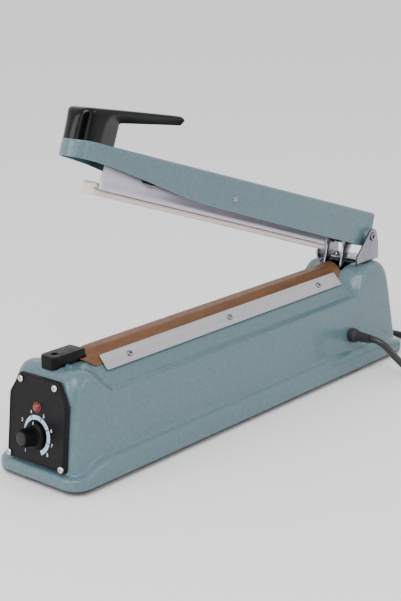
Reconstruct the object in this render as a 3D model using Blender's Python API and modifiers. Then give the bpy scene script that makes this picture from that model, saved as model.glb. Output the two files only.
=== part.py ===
"""Impulse heat sealer, 300 mm seal, with a hinged press arm.

Run it with: blender --background --python part.py

Units are metres. +Z is up, +X runs from the control panel at the front to the hinge at the rear, and
-Y is the side that the mains cord leaves. The origin is on the floor, under the middle of the machine,
timer knob included. The model stands with its arm open, as its return spring holds it.
"""
import math

import bmesh
import bpy

MM = 0.001
GAP = 0.3 * MM              # between neighbouring pieces
FIT = 0.08 * MM             # radial play of a pin in a drilled hole

# ---- base casting -------------------------------------------------------------------------------
BASE_LENGTH = 435.6 * MM    # over the foot flange
BASE_WIDTH = 92.0 * MM      # over the foot flange
CREST_Z = 87.2 * MM         # flat top under the sealing rail, and of the front hump
REAR_TOP_Z = 91.2 * MM      # flat top under the hinge bracket
SHOULDER_Z = 66.0 * MM      # ridge between the upright wall and the sloping deck
CREST_HALF = 11.3 * MM      # half width of the crest that the deck slopes up to
WALL = 2.2 * MM             # thickness of the casting
FLANGE_Z = 4.8 * MM         # underside of the flange
FLANGE_TOP = 21.2 * MM      # top of the flange along the sides
FLANGE_FRONT_TOP = 13.8 * MM    # top of the flange across the two ends
FLANGE_LIP = 7.0 * MM       # how far the flange stands out of the side walls
END_LIP = 5.6 * MM          # how far it stands out of the end walls
WALL_DRAFT = 0.080          # lean of the side walls, sideways per height
END_DRAFT = 0.123           # lean of the end walls, lengthways per height
CORNER = 8.5 * MM           # plan radius of the upright corners
FLANGE_CORNER = 14.0 * MM
FRONT_HUMP = (-188.0 * MM, -162.0 * MM)     # where the front hump falls to the deck
REAR_HUMP = (146.4 * MM, 170.0 * MM)        # where the deck rises to the rear hump
CORNER_STEPS = 5
TOP_RINGS = -6              # the rings of the casting above its side walls
HUMP_STEPS = 5

# ---- underside ----------------------------------------------------------------------------------
PLATE_T = 1.5 * MM
PLATE_INSET = 1.0 * MM
FOOT_R = 7.0 * MM
FOOT_INSET_X = 34.0 * MM
FOOT_INSET_Y = 16.0 * MM
PLATE_SCREW_INSET_X = 60.0 * MM

# ---- control panel ------------------------------------------------------------------------------
PANEL_Z = 15.4 * MM         # bottom edge
PANEL_HALF = 31.0 * MM
PANEL_TOP_HALF = 20.8 * MM
PANEL_SHOULDER = 50.5 * MM  # height, along the panel, where its sides turn in
PANEL_HEIGHT = 67.2 * MM
PANEL_T = 4.2 * MM
PANEL_SCREW_R = 2.6 * MM
PANEL_SCREWS = ((28.2 * MM, 3.4 * MM), (18.2 * MM, 62.4 * MM))
KNOB_Z = 22.8 * MM          # along the panel
KNOB_SKIRT_R = 10.2 * MM
KNOB_GRIP_R = 7.4 * MM
KNOB_FACE_R = 6.2 * MM
KNOB_H = 14.6 * MM
KNOB_SHAFT_R = 3.0 * MM
LAMP_Z = 44.2 * MM
LAMP_R = 3.9 * MM
POT_R = 8.5 * MM
POT_DEPTH = 10.0 * MM
BOARD_T = 1.6 * MM
BOARD_HALF = 20.0 * MM
BOARD_Z = (6.0 * MM, 52.0 * MM)     # along the panel

# ---- sealing line -------------------------------------------------------------------------------
STRIP_X = (-157.8 * MM, 144.6 * MM)     # ends of the clamp strips
RAIL_X = (-155.0 * MM, 138.0 * MM)
RAIL_HALF = 5.5 * MM
RAIL_H = 4.3 * MM
ELEMENT_HALF = 2.0 * MM
ELEMENT_T = 0.3 * MM
CLOTH_T = 0.3 * MM
CLOTH_X = (-175.0 * MM, 156.0 * MM)
CLOTH_LIFT = 2.4 * MM       # how far the loose ends lie off the casting
CLOTH_SWELL = 2.4 * MM      # how much more the rear end arches
LOBE_HALF = 16.0 * MM       # half width of the cloth's loose ends
STRIP_T = 0.8 * MM
STRIP_WIDTH = 13.8 * MM
STRIP_LIFT = 1.1 * MM       # underside of the strips, off the slope
STRIP_OVER = 0.4 * MM       # how far they reach over the crest
STRIP_ROLL = 0.4 * MM       # lift of their lower edge
STRIP_SCREW_DOWN = 6.5 * MM     # down the slope from the crest
STRIP_SCREWS = (-129.3 * MM, -9.6 * MM, 114.5 * MM)
TERMINAL = (7.0 * MM, 8.0 * MM, 1.2 * MM)
COVER_X = (-199.6 * MM, -167.4 * MM)
COVER_HALF = 8.5 * MM
COVER_H = 8.4 * MM

# ---- hinge --------------------------------------------------------------------------------------
HINGE_X = 191.6 * MM
HINGE_Z = 114.6 * MM
OPEN_ANGLE = math.radians(18.94)
EAR_INNER = 21.8 * MM
EAR_T = 1.6 * MM
WEB_X = (180.0 * MM, 200.5 * MM)
EAR_FOOT_X = 166.2 * MM
EAR_TOP_R = 7.2 * MM
BRACKET_SCREW_Y = 15.0 * MM
HINGE_PIN_R = 2.5 * MM
PIN_HEAD_R = 4.0 * MM
PIN_HEAD_T = 0.9 * MM
PIN_BORE_R = 1.7 * MM

# ---- press arm, in its own frame: reach from the hinge towards the front, height over the pin --------
ARM_HALF = 17.6 * MM
ARM_T = 1.5 * MM
ARM_REACH = 384.0 * MM
ARM_REAR = 4.9 * MM
ARM_TOP_REAR = 22.0 * MM
ARM_TOP_SLOPE = -0.0182
ARM_BOTTOM = ((-4.9, -10.3), (60, -10.6), (182, -9.9), (235, -9.4), (262, -8.2), (291, -4.9),
              (321, -2.1), (345, -0.2), (366, 1.2), (384, 1.6))
NOSE_R = 16.0 * MM
BOSS_R = 7.6 * MM
SLOT_X = (154.8 * MM, 178.6 * MM)
SLOT_HALF = 13.0 * MM

# ---- handle -------------------------------------------------------------------------------------
POST_REACH = 370.4 * MM
POST_R = 13.6 * MM
BAR_HALF = 10.6 * MM
HANDLE_TIP = 268.0 * MM
HANDLE_HEEL = 342.2 * MM    # rear edge of the post at its foot
HANDLE_FRONT = ((0.9, 33.8), (2.0, 36.7), (4.8, 38.3))      # behind the post's front, height: top front
HANDLE_END = ((61.0, 45.2), (4.6, 54.0), (2.0, 53.4), (0.8, 51.6), (0.2, 47.4))     # ahead of tip, height
HANDLE_INNER = ((300.0, 41.6), (336.0, 35.0), (339.6, 33.6), (340.8, 31.0))     # reach, height: underside
HANDLE_HIGH = 80.0 * MM     # more than the handle's height
HANDLE_SIDE = ((352.0, 13.6), (336.0, 10.6))    # reach, half width: where the lever narrows
HANDLE_CHAMFER = 3.0 * MM
HANDLE_SCREW_R = 2.0 * MM
HANDLE_SCREW_HEAD = (3.8 * MM, 2.2 * MM)        # radius, height
HANDLE_SCREW_LENGTH = 11.0 * MM
SEAT_SLACK = 0.2 * MM

# ---- press bar ----------------------------------------------------------------------------------
PIVOT_REACH = 204.9 * MM
PIVOT_H = 1.1 * MM
PIVOT_R = 2.0 * MM
BAR_REACH = (54.0 * MM, 352.5 * MM)
BAR_TOP = 3.4 * MM
BAR_WEB = -12.6 * MM
BAR_BOTTOM = -17.0 * MM
BAR_SIDE = 8.0 * MM
BAR_T = 1.0 * MM
BAR_FAR_SETBACK = 22.0 * MM     # how far the far side starts behind the near one
SEAL_LINE = -21.3 * MM      # underside of the silicone strip
SILICONE_REACH = (51.0 * MM, 355.0 * MM)
SILICONE_HALF = 6.4 * MM

# ---- return spring and switch ---------------------------------------------------------------------
FORK_Y = 9.0 * MM
FORK_T = 1.5 * MM
FORK_END = -47.0 * MM
FORK_PIN = (20.0 * MM, -43.4 * MM)
FORK_PIN_R = 1.5 * MM
SPRING_R = 3.6 * MM
SPRING_WIRE = 0.5 * MM
SPRING_TURNS = 9
WIRE_STEPS = 12             # points to a turn of either spring
PRESSURE_REACH = 322.0 * MM
PRESSURE_R = 4.2 * MM
PRESSURE_WIRE = 0.45 * MM
PRESSURE_TURNS = 5
ANCHOR_X = 104.0 * MM
SWITCH_SIZE = (20.0 * MM, 6.4 * MM, 10.5 * MM)
PLUNGER_R = 1.3 * MM
PLUNGER_TRAVEL = 1.0 * MM

# ---- transformer --------------------------------------------------------------------------------
CORE_X = -72.0 * MM
CORE_SIZE = (54.0 * MM, 34.0 * MM, 45.0 * MM)
CORE_LIMB = 9.0 * MM
COIL_SIDE = 9.0 * MM

# ---- mains cord ---------------------------------------------------------------------------------
CORD_R = 3.2 * MM
GLAND_X = 136.0 * MM
GLAND_Z = 35.5 * MM
GLAND_LENGTH = 22.0 * MM
GLAND_R = 6.5 * MM
GLAND_NECK = 4.6 * MM
COIL_CENTRE = (62.0 * MM, 118.0 * MM)
COIL_R = 38.0 * MM
PLUG_LENGTH = 42.0 * MM
CORD_ROUTE = ((136.0, -60.2, 35.5), (136.4, -66.0, 35.2), (138.6, -73.5, 31.0), (143.5, -81.0, 21.0),
              (152.0, -87.5, 10.4), (166.0, -92.0, 4.4), (184.0, -93.5, 3.5), (205.0, -90.0, 3.5),
              (226.0, -79.0, 3.5), (241.0, -60.0, 3.5), (248.0, -36.0, 3.5), (249.0, -10.0, 3.5),
              (246.0, 16.0, 3.5), (237.0, 39.0, 3.5), (220.0, 57.0, 3.5), (195.0, 68.0, 3.5),
              (165.0, 72.6, 3.5), (132.0, 72.6, 3.5), (100.0, 71.0, 3.5), (76.0, 70.1, 3.5))
TAIL_ROUTE = ((66.0, 165.9, 3.5), (80.0, 166.4, 3.5), (92.0, 167.6, 4.8), (104.0, 169.2, 8.0),
              (113.0, 169.9, 9.5), (120.0, 170.0, 9.6))

# ---- worked out from the above --------------------------------------------------------------------
HALF_LENGTH = BASE_LENGTH / 2
HALF_WIDTH = BASE_WIDTH / 2
PLATE_Z = FLANGE_Z - GAP - PLATE_T
PANEL_LEAN = math.atan(END_DRAFT)
END_FOOT = HALF_LENGTH - END_LIP + 0.4 * MM
RAIL_Z = CREST_Z + GAP
ELEMENT_Z = RAIL_Z + RAIL_H + GAP
CLOTH_Z = ELEMENT_Z + ELEMENT_T + GAP
DECK_DROP = 10.9 / 9.4      # fall of the sloping deck per step sideways
INSIDE_Z = FLANGE_Z + GAP
KNOB_LOW = KNOB_Z - KNOB_FACE_R + 0.6 * MM
KNOB_REACH = END_FOOT - (PANEL_Z - FLANGE_FRONT_TOP) * END_DRAFT \
    + (PANEL_T + 2 * GAP + KNOB_H) * math.cos(PANEL_LEAN) - KNOB_LOW * math.sin(PANEL_LEAN)
MACHINE_X = (KNOB_REACH - HALF_LENGTH) / 2


# ---- helpers --------------------------------------------------------------------------------------
def clear_scene():
    for old in list(bpy.data.objects):
        bpy.data.objects.remove(old, do_unlink=True)


def new_collection(name):
    group = bpy.data.collections.new(name)
    bpy.context.scene.collection.children.link(group)
    return group


def paint(name, colour, roughness, metallic=0.0):
    material = bpy.data.materials.new(name)
    material.use_nodes = True
    shader = material.node_tree.nodes["Principled BSDF"]
    shader.inputs["Base Color"].default_value = (*colour, 1.0)
    shader.inputs["Roughness"].default_value = roughness
    shader.inputs["Metallic"].default_value = metallic
    return material


def empty(name, location, rotation=(0, 0, 0), parent=None):
    axis = bpy.data.objects.new(name, None)
    axis.location = location
    axis.rotation_euler = rotation
    axis.parent = parent
    PARTS.objects.link(axis)
    return axis


def add(name, data, material, parent, location=(0, 0, 0), rotation=(0, 0, 0)):
    piece = bpy.data.objects.new(name, data)
    if material is not None:
        data.materials.append(material)
    piece.location = location
    piece.rotation_euler = rotation
    piece.parent = parent
    (PARTS if material is not None else CUTTERS).objects.link(piece)
    if material is None:
        piece.hide_render = True
        piece.display_type = 'WIRE'
    return piece


def mesh_from(name, build):
    data = bpy.data.meshes.new(name)
    work = bmesh.new()
    build(work)
    work.to_mesh(data)
    work.free()
    return data


def smooth(piece, degrees=35):
    piece.data.shade_smooth()
    piece.data.set_sharp_from_angle(angle=math.radians(degrees))
    return piece


def box(name, low, high, material, parent, bevel=0.0):
    """A block between two corners, its origin at its middle."""
    size = [b - a for a, b in zip(low, high)]
    middle = [(a + b) / 2 for a, b in zip(low, high)]

    def build(work):
        bmesh.ops.create_cube(work, size=1.0)
        bmesh.ops.scale(work, vec=size, verts=work.verts)

    piece = add(name, mesh_from(name, build), material, parent, middle)
    if bevel:
        edge = piece.modifiers.new("edges", 'BEVEL')
        edge.width = bevel
        edge.segments = 2
    return piece


def rod(name, radius, length, centre, direction, material, parent, segments=24):
    """A cylinder along X, Y or Z."""
    turn = {'X': (0, math.pi / 2, 0), 'Y': (math.pi / 2, 0, 0), 'Z': (0, 0, 0)}[direction]

    def build(work):
        bmesh.ops.create_cone(work, cap_ends=True, segments=segments, radius1=radius, radius2=radius,
                              depth=length)

    piece = add(name, mesh_from(name, build), material, parent, centre, turn)
    return smooth(piece)


def turned(name, profile, material, parent, location, rotation=(0, 0, 0), steps=16, ring=False):
    """A turned piece: profile is (radius, height) from the top down, turned about local Z. A ring's profile
    closes on itself, away from the axis."""
    data = bpy.data.meshes.new(name)
    edges = [(i, i + 1) for i in range(len(profile) - 1)]
    if ring:
        edges.append((len(profile) - 1, 0))
    data.from_pydata([(r, 0, z) for r, z in profile], edges, [])
    piece = add(name, data, material, parent, location, rotation)
    screw = piece.modifiers.new("turn", 'SCREW')
    screw.steps = steps
    screw.render_steps = steps
    screw.use_merge_vertices = True
    screw.merge_threshold = 0.00001
    screw.use_smooth_shade = True
    return piece


def outline(name, points, thickness, material, parent, location=(0, 0, 0), rotation=(0, 0, 0), holes=()):
    """A flat piece from its outline in local XY, thickness along local Z about its middle."""
    curve = bpy.data.curves.new(name, 'CURVE')
    curve.dimensions = '2D'
    curve.fill_mode = 'BOTH'
    curve.extrude = thickness / 2
    for loop in (points, *holes):
        spline = curve.splines.new('POLY')
        spline.points.add(len(loop) - 1)
        for point, (x, y) in zip(spline.points, loop):
            point.co = (x, y, 0, 1)
        spline.use_cyclic_u = True
    return as_mesh(name, curve, material, parent, location, rotation)


def tube(name, points, radius, material, parent, resolution=2):
    """A round wire or cord along points."""
    curve = bpy.data.curves.new(name, 'CURVE')
    curve.dimensions = '3D'
    curve.bevel_depth = radius
    curve.bevel_resolution = resolution
    curve.use_fill_caps = True
    spline = curve.splines.new('POLY')
    spline.points.add(len(points) - 1)
    for point, place in zip(spline.points, points):
        point.co = (*place, 1)
    return as_mesh(name, curve, material, parent)


def as_mesh(name, curve, material, parent, location=(0, 0, 0), rotation=(0, 0, 0)):
    """Turns a curve into a mesh with welded caps, so that it can be cut and joined."""
    holder = bpy.data.objects.new(name + "_curve", curve)
    bpy.context.scene.collection.objects.link(holder)
    depsgraph = bpy.context.evaluated_depsgraph_get()
    data = bpy.data.meshes.new_from_object(holder.evaluated_get(depsgraph))
    bpy.data.objects.remove(holder, do_unlink=True)
    work = bmesh.new()
    work.from_mesh(data)
    bmesh.ops.remove_doubles(work, verts=work.verts, dist=0.000001)
    bmesh.ops.recalc_face_normals(work, faces=work.faces)
    work.to_mesh(data)
    work.free()
    data.name = name
    data.materials.clear()
    return smooth(add(name, data, material, parent, location, rotation))


def combine(piece, other, operation='DIFFERENCE'):
    step = piece.modifiers.new(other.name, 'BOOLEAN')
    step.operation = operation
    step.solver = 'EXACT'
    step.object = other


def arc(centre, radius, start, end, steps):
    """Points of an arc, angles in degrees."""
    turns = [math.radians(start + (end - start) * i / steps) for i in range(steps + 1)]
    return [(centre[0] + radius * math.cos(t), centre[1] + radius * math.sin(t)) for t in turns]


def ease(x, low, high):
    """0 at low, 1 at high, smooth between; low may be above high."""
    t = min(1.0, max(0.0, (x - low) / (high - low)))
    return t * t * (3 - 2 * t)


def interpolate(table, x):
    for (x0, y0), (x1, y1) in zip(table, table[1:]):
        if x <= x1:
            return y0 + (y1 - y0) * max(0.0, x - x0) / (x1 - x0)
    return table[-1][1]


# ---- base casting ---------------------------------------------------------------------------------
def deck_width(z):
    """Half width of the sloping deck at a height."""
    return CREST_HALF + (CREST_Z - z) / DECK_DROP


def wall_half(z):
    """Half width over the upright side walls at a height."""
    return HALF_WIDTH - FLANGE_LIP - (z - FLANGE_TOP) * WALL_DRAFT


def end_face(z):
    """Distance of an end wall from the middle of the base at a height."""
    return END_FOOT - (z - FLANGE_FRONT_TOP) * END_DRAFT


def casting_levels():
    """Each ring of the casting: half widths at deck and hump, heights at deck, hump and ends, half length,
    corner radius. The hump heights come as front and rear."""
    lip = HALF_WIDTH
    foot = HALF_WIDTH - FLANGE_LIP
    drop = FLANGE_TOP - FLANGE_FRONT_TOP
    rings = []

    def level(half, z, length, corner, hump_half=None, hump_z=None, end_z=None):
        rear_rise = REAR_TOP_Z - CREST_Z
        front = z if hump_z is None else hump_z
        rear = front if hump_z is None or hump_z < SHOULDER_Z + 10 * MM else front + rear_rise
        rings.append((half, half if hump_half is None else hump_half, z, front, rear,
                      z if end_z is None else end_z, length, corner))

    level(lip, FLANGE_Z, HALF_LENGTH, FLANGE_CORNER)
    level(lip, FLANGE_TOP - 4.7 * MM, HALF_LENGTH, FLANGE_CORNER, end_z=FLANGE_TOP - drop - 3.8 * MM)
    level(lip - 0.9 * MM, FLANGE_TOP - 1.6 * MM, HALF_LENGTH - 0.6 * MM, FLANGE_CORNER,
          end_z=FLANGE_FRONT_TOP - 1.2 * MM)
    level(lip - 3.0 * MM, FLANGE_TOP, HALF_LENGTH - 2.0 * MM, FLANGE_CORNER, end_z=FLANGE_FRONT_TOP)
    level(foot + 1.2 * MM, FLANGE_TOP + 1.6 * MM, END_FOOT, CORNER + 3 * MM,
          end_z=FLANGE_FRONT_TOP + 0.5 * MM)
    for z in (FLANGE_TOP + 6 * MM, FLANGE_TOP + 10 * MM):
        low = z - drop
        level(wall_half(z), z, end_face(low), CORNER, end_z=low)
    high = CREST_Z - 12.0 * MM
    low = SHOULDER_Z - 3.0 * MM
    level(wall_half(low), low, end_face(high), CORNER + 2 * MM, wall_half(high), high)
    level(wall_half(low) - 1.2 * MM, SHOULDER_Z + 0.8 * MM, end_face(CREST_Z - 5.6 * MM) - 1.8 * MM,
          CORNER + 4 * MM, wall_half(high) - 1.8 * MM, CREST_Z - 5.6 * MM)
    level(deck_width(SHOULDER_Z + 3.2 * MM), SHOULDER_Z + 2.6 * MM, end_face(CREST_Z) - 6.0 * MM, CORNER,
          wall_half(high) - 5.4 * MM, CREST_Z - 1.3 * MM)
    level(deck_width(SHOULDER_Z + 7.4 * MM), SHOULDER_Z + 7.0 * MM, end_face(CREST_Z) - 9.2 * MM,
          CORNER - 3.5 * MM, wall_half(high) - 10.5 * MM, CREST_Z)
    level(deck_width(SHOULDER_Z + 11.8 * MM), SHOULDER_Z + 11.8 * MM, end_face(CREST_Z) - 10.2 * MM,
          CORNER - 4.5 * MM, wall_half(high) - 16.0 * MM, CREST_Z)
    level(CREST_HALF, CREST_Z, end_face(CREST_Z) - 10.9 * MM, CORNER - 5.2 * MM, CREST_HALF, CREST_Z)
    return rings


def casting_ring(level):
    """Half of one ring, from the front middle round the near side to the rear middle."""
    half, hump_half, z_deck, z_front, z_rear, z_end, length, corner = level
    end_half = hump_half - corner
    plan = [(-length, 0.0), (-length, -end_half * 0.5)]
    plan += arc((-length + corner, -end_half), corner, 180, 270, CORNER_STEPS)
    for low, high in (FRONT_HUMP, REAR_HUMP):
        plan += [(low + (high - low) * i / HUMP_STEPS, None) for i in range(HUMP_STEPS + 1)]
    plan += arc((length - corner, -end_half), corner, 270, 360, CORNER_STEPS)
    plan += [(length, -end_half * 0.5), (length, 0.0)]
    ring = []
    for x, y in plan:
        front = ease(x, FRONT_HUMP[1], FRONT_HUMP[0])
        rear = ease(x, REAR_HUMP[0], REAR_HUMP[1])
        z = z_deck + (z_front - z_deck) * front + (z_rear - z_deck) * rear
        if z_front == z_deck:
            z += (z_end - z_deck) * ease(abs(x), HALF_LENGTH - 26 * MM, HALF_LENGTH - 8 * MM)
        if y is None:
            y = -(half + (hump_half - half) * (front + rear))
        ring.append((x, y, z))
    return ring


def build_housing(parent):
    rings = [casting_ring(level) for level in casting_levels()]
    count = len(rings[0])

    def build(work):
        grid = [[work.verts.new(p) for p in ring] for ring in rings]
        for lower, upper in zip(grid, grid[1:]):
            for i in range(count - 1):
                work.faces.new((lower[i], lower[i + 1], upper[i + 1], upper[i]))
        top = grid[-1]
        edge = top[2:-2]
        middle = [top[0]] + [work.verts.new((v.co.x, 0, v.co.z)) for v in edge[1:-1]] + [top[-1]]
        work.faces.new((top[0], top[1], edge[0], edge[1], middle[1]))
        for i in range(1, len(edge) - 2):
            work.faces.new((middle[i], edge[i], edge[i + 1], middle[i + 1]))
        work.faces.new((middle[-2], edge[-2], edge[-1], top[-2], top[-1]))

    data = mesh_from("base_housing", build)
    piece = add("base_housing", data, PAINT_BLUE, parent)
    mirror = piece.modifiers.new("far side", 'MIRROR')
    mirror.use_axis = (False, True, False)
    mirror.use_clip = True
    mirror.merge_threshold = 0.00005
    shell = piece.modifiers.new("wall", 'SOLIDIFY')
    shell.thickness = WALL
    shell.offset = -1
    shell.use_even_offset = True
    shell.thickness_clamp = 0.0
    smooth(piece, 40)
    combine(piece, box("cut_fork_slot", (SLOT_X[0], -SLOT_HALF, CREST_Z - 8 * MM),
                       (SLOT_X[1], SLOT_HALF, REAR_TOP_Z + 8 * MM), None, parent))
    combine(piece, rod("cut_gland", GLAND_NECK + GAP, 20 * MM,
                       (GLAND_X, -wall_half(GLAND_Z), GLAND_Z), 'Y', None, parent))
    window = box("cut_panel_window", (-6 * MM, -POT_R - 3 * MM, KNOB_Z - POT_R - 3 * MM),
                 (8 * MM, POT_R + 3 * MM, LAMP_Z + LAMP_R + 3 * MM), None, PANEL)
    combine(piece, window)
    return piece


def build_underside(parent):
    x = HALF_LENGTH - PLATE_INSET
    y = HALF_WIDTH - PLATE_INSET
    r = FLANGE_CORNER - PLATE_INSET
    points = []
    for cx, cy, start in ((x - r, y - r, 0), (r - x, y - r, 90), (r - x, r - y, 180), (x - r, r - y, 270)):
        points += arc((cx, cy), r, start, start + 90, 6)
    outline("bottom_plate", points, PLATE_T, STEEL_DARK, parent, (0, 0, PLATE_Z + PLATE_T / 2))
    number = 0
    for sx in (-1, 1):
        for sy in (-1, 1):
            number += 1
            place = (sx * (HALF_LENGTH - FOOT_INSET_X), sy * (HALF_WIDTH - FOOT_INSET_Y), 0)
            height = PLATE_Z - GAP
            turned(f"foot_{number}", [(0, height), (FOOT_R, height), (FOOT_R, 0.6 * MM),
                                      (FOOT_R - 0.6 * MM, 0), (0, 0)], RUBBER, parent, place)
            spot = (sx * (HALF_LENGTH - PLATE_SCREW_INSET_X), place[1], height)
            screw_head(f"plate_screw_{number}", 2.8 * MM, 1.2 * MM, parent, spot, (math.pi, 0, 0))


def screw_head(name, radius, height, parent, place, rotation, material=None):
    """A domed screw head that stands along local +Z from place."""
    profile = [(0, height)]
    for turn in (math.radians(30), math.radians(60)):
        profile.append((radius * math.sin(turn) * 0.92, height * (0.45 + 0.55 * math.cos(turn))))
    profile += [(radius, height * 0.3), (radius, 0), (0, 0)]
    return turned(name, profile, material or BRIGHT, parent, place, rotation, steps=14)


# ---- control panel --------------------------------------------------------------------------------
def build_panel():
    front = -GAP - PANEL_T
    lean = (0, -math.pi / 2, 0)
    r = 3.0 * MM
    half, top, shoulder, height = PANEL_HALF, PANEL_TOP_HALF, PANEL_SHOULDER, PANEL_HEIGHT
    near = arc((r, -half + r), r, 180, 270, 3) + [(shoulder, -half)]
    near += arc((height - r, -top + r), r, 300, 360, 3)
    points = near + [(x, -y) for x, y in reversed(near)]
    bush = arc((KNOB_Z, 0), KNOB_SHAFT_R + 0.6 * MM, 0, 345, 23)
    lens = arc((LAMP_Z, 0), LAMP_R + GAP, 0, 345, 23)
    plate = outline("control_panel", points, PANEL_T, PANEL_BLACK, PANEL, (front + PANEL_T / 2, 0, 0),
                    lean, (bush, lens))
    edge = plate.modifiers.new("edges", 'BEVEL')
    edge.width = 0.5 * MM
    edge.limit_method = 'ANGLE'
    edge.angle_limit = math.radians(60)
    number = 0
    for y, z in PANEL_SCREWS:
        for side in (-1, 1):
            number += 1
            screw_head(f"panel_screw_{number}", PANEL_SCREW_R, 1.5 * MM, PANEL,
                       (front - GAP, side * y, z), lean)
    turned("indicator_lamp", [(0, 2.4 * MM), (LAMP_R * 0.55, 2.0 * MM), (LAMP_R * 0.9, 1.1 * MM),
                              (LAMP_R, 0), (LAMP_R, -9 * MM), (0, -9 * MM)], LAMP_RED, PANEL,
           (front, 0, LAMP_Z), lean, 20)
    behind = GAP
    pot_x = behind + POT_DEPTH / 2
    rod("timer_potentiometer", POT_R, POT_DEPTH, (pot_x, 0, KNOB_Z), 'X', STEEL, PANEL)
    board_x = behind + POT_DEPTH + GAP
    box("timer_board", (board_x, -BOARD_HALF, BOARD_Z[0]), (board_x + BOARD_T, BOARD_HALF, BOARD_Z[1]),
        BOARD_GREEN, PANEL)
    build_knob(front)


def build_knob(front):
    axis = empty("timer_knob_axis", (front - GAP, 0, KNOB_Z), (0, -math.pi / 2, 0), PANEL)
    shaft_end = -PANEL_T - GAP + 0.2 * MM
    profile = [(0, KNOB_H), (KNOB_FACE_R - 0.6 * MM, KNOB_H), (KNOB_FACE_R, KNOB_H - 0.6 * MM),
               (KNOB_GRIP_R, 4.4 * MM), (KNOB_SKIRT_R - 0.8 * MM, 3.0 * MM), (KNOB_SKIRT_R, 2.2 * MM),
               (KNOB_SKIRT_R, 0), (KNOB_SHAFT_R, 0), (KNOB_SHAFT_R, shaft_end), (0, shaft_end)]
    knob = turned("timer_knob", profile, PLASTIC_BLACK, axis, (0, 0, 0), steps=24)
    pointer = outline("join_pointer", [(KNOB_SKIRT_R - 2 * MM, -2.6 * MM), (KNOB_SKIRT_R + 1.6 * MM, 0),
                                       (KNOB_SKIRT_R - 2 * MM, 2.6 * MM)], 2.0 * MM, None, axis,
                      (0, 0, 1.3 * MM))
    combine(knob, pointer, 'UNION')


# ---- sealing line ---------------------------------------------------------------------------------
def deck_frame(offset, along):
    """A point on the near deck: offset out of the slope, along it down from the crest. Gives (y, z)."""
    length = math.hypot(1, DECK_DROP)
    out = (DECK_DROP / length, 1 / length)
    down = (1 / length, -DECK_DROP / length)
    return (-(CREST_HALF + out[0] * offset + down[0] * along), CREST_Z + out[1] * offset + down[1] * along)


def sheet_section(points):
    """Both halves of a section, from the near edge over the top to the far edge."""
    return points + [(-y, z) for y, z in reversed(points[:-1])]


def deck_height(x, y):
    """Height of the painted top between the outer ends of the two humps."""
    front = ease(x, FRONT_HUMP[1], FRONT_HUMP[0])
    rear = ease(x, REAR_HUMP[0], REAR_HUMP[1])
    rows = []
    for half, hump_half, z_deck, z_front, z_rear, *_ in reversed(casting_levels()[TOP_RINGS:]):
        rows.append((half + (hump_half - half) * (front + rear),
                     z_deck + (z_front - z_deck) * front + (z_rear - z_deck) * rear))
    return interpolate([(0, rows[0][1])] + rows, abs(y))


def clamped_section():
    """Near half of the cloth's section between the strips, edge to middle."""
    return [deck_frame(0.45 * MM, 6.5 * MM), deck_frame(0.6 * MM, 0),
            (-RAIL_HALF - 1.9 * MM, CREST_Z + 2.6 * MM), (-RAIL_HALF - 0.9 * MM, CLOTH_Z - 0.3 * MM),
            (-RAIL_HALF + 0.6 * MM, CLOTH_Z + CLOTH_T / 2), (0, CLOTH_Z + CLOTH_T / 2)]


def lobe_section(x, spread):
    """Near half of a loose end's section; spread narrows it outside the cover block."""
    inner = COVER_HALF + 2 * GAP
    swell = CLOTH_SWELL if x > 0 else 0
    section = []
    for share in (1.0, 0.6, 0.28, 0.0):
        y = inner + (LOBE_HALF - inner) * share * spread
        section.append((-y, deck_height(x, y) + CLOTH_LIFT + (1 - share) * (MM + swell)))
    top = deck_height(x, 0) + 3.4 * MM + swell
    return section + [(-RAIL_HALF, top - 0.5 * MM), (0, top)]


def build_cloth(parent):
    """The PTFE cloth: over the rail between the strips, with a low rounded lobe at each end. The front lobe
    parts round the cover block."""
    behind_cover = COVER_X[1] + 2 * GAP
    stations = [(CLOTH_X[0], 0.35), (CLOTH_X[0] + 2.5 * MM, 0.75), (behind_cover, 1.0),
                (STRIP_X[0] - 3.6 * MM, 0.8), (STRIP_X[0] - MM, None), (STRIP_X[1] + MM, None),
                (STRIP_X[1] + 3.6 * MM, 0.8), (CLOTH_X[1] - 5 * MM, 1.0), (CLOTH_X[1], 0.5)]

    def build(work):
        grid = []
        for x, spread in stations:
            half = clamped_section() if spread is None else lobe_section(x, spread)
            grid.append((x, [work.verts.new((x, y, z)) for y, z in sheet_section(half)]))
        for (x, one), (_, other) in zip(grid, grid[1:]):
            for i in range(len(one) - 1):
                beside_cover = i in (3, 4, 5, 6) and x < behind_cover
                if not beside_cover:
                    work.faces.new((one[i], one[i + 1], other[i + 1], other[i]))
        bmesh.ops.delete(work, geom=[v for v in work.verts if not v.link_faces], context='VERTS')

    piece = add("ptfe_cloth", mesh_from("ptfe_cloth", build), CLOTH_BROWN, parent)
    thick = piece.modifiers.new("cloth", 'SOLIDIFY')
    thick.thickness = CLOTH_T
    thick.offset = 0
    return smooth(piece, 60)


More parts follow.
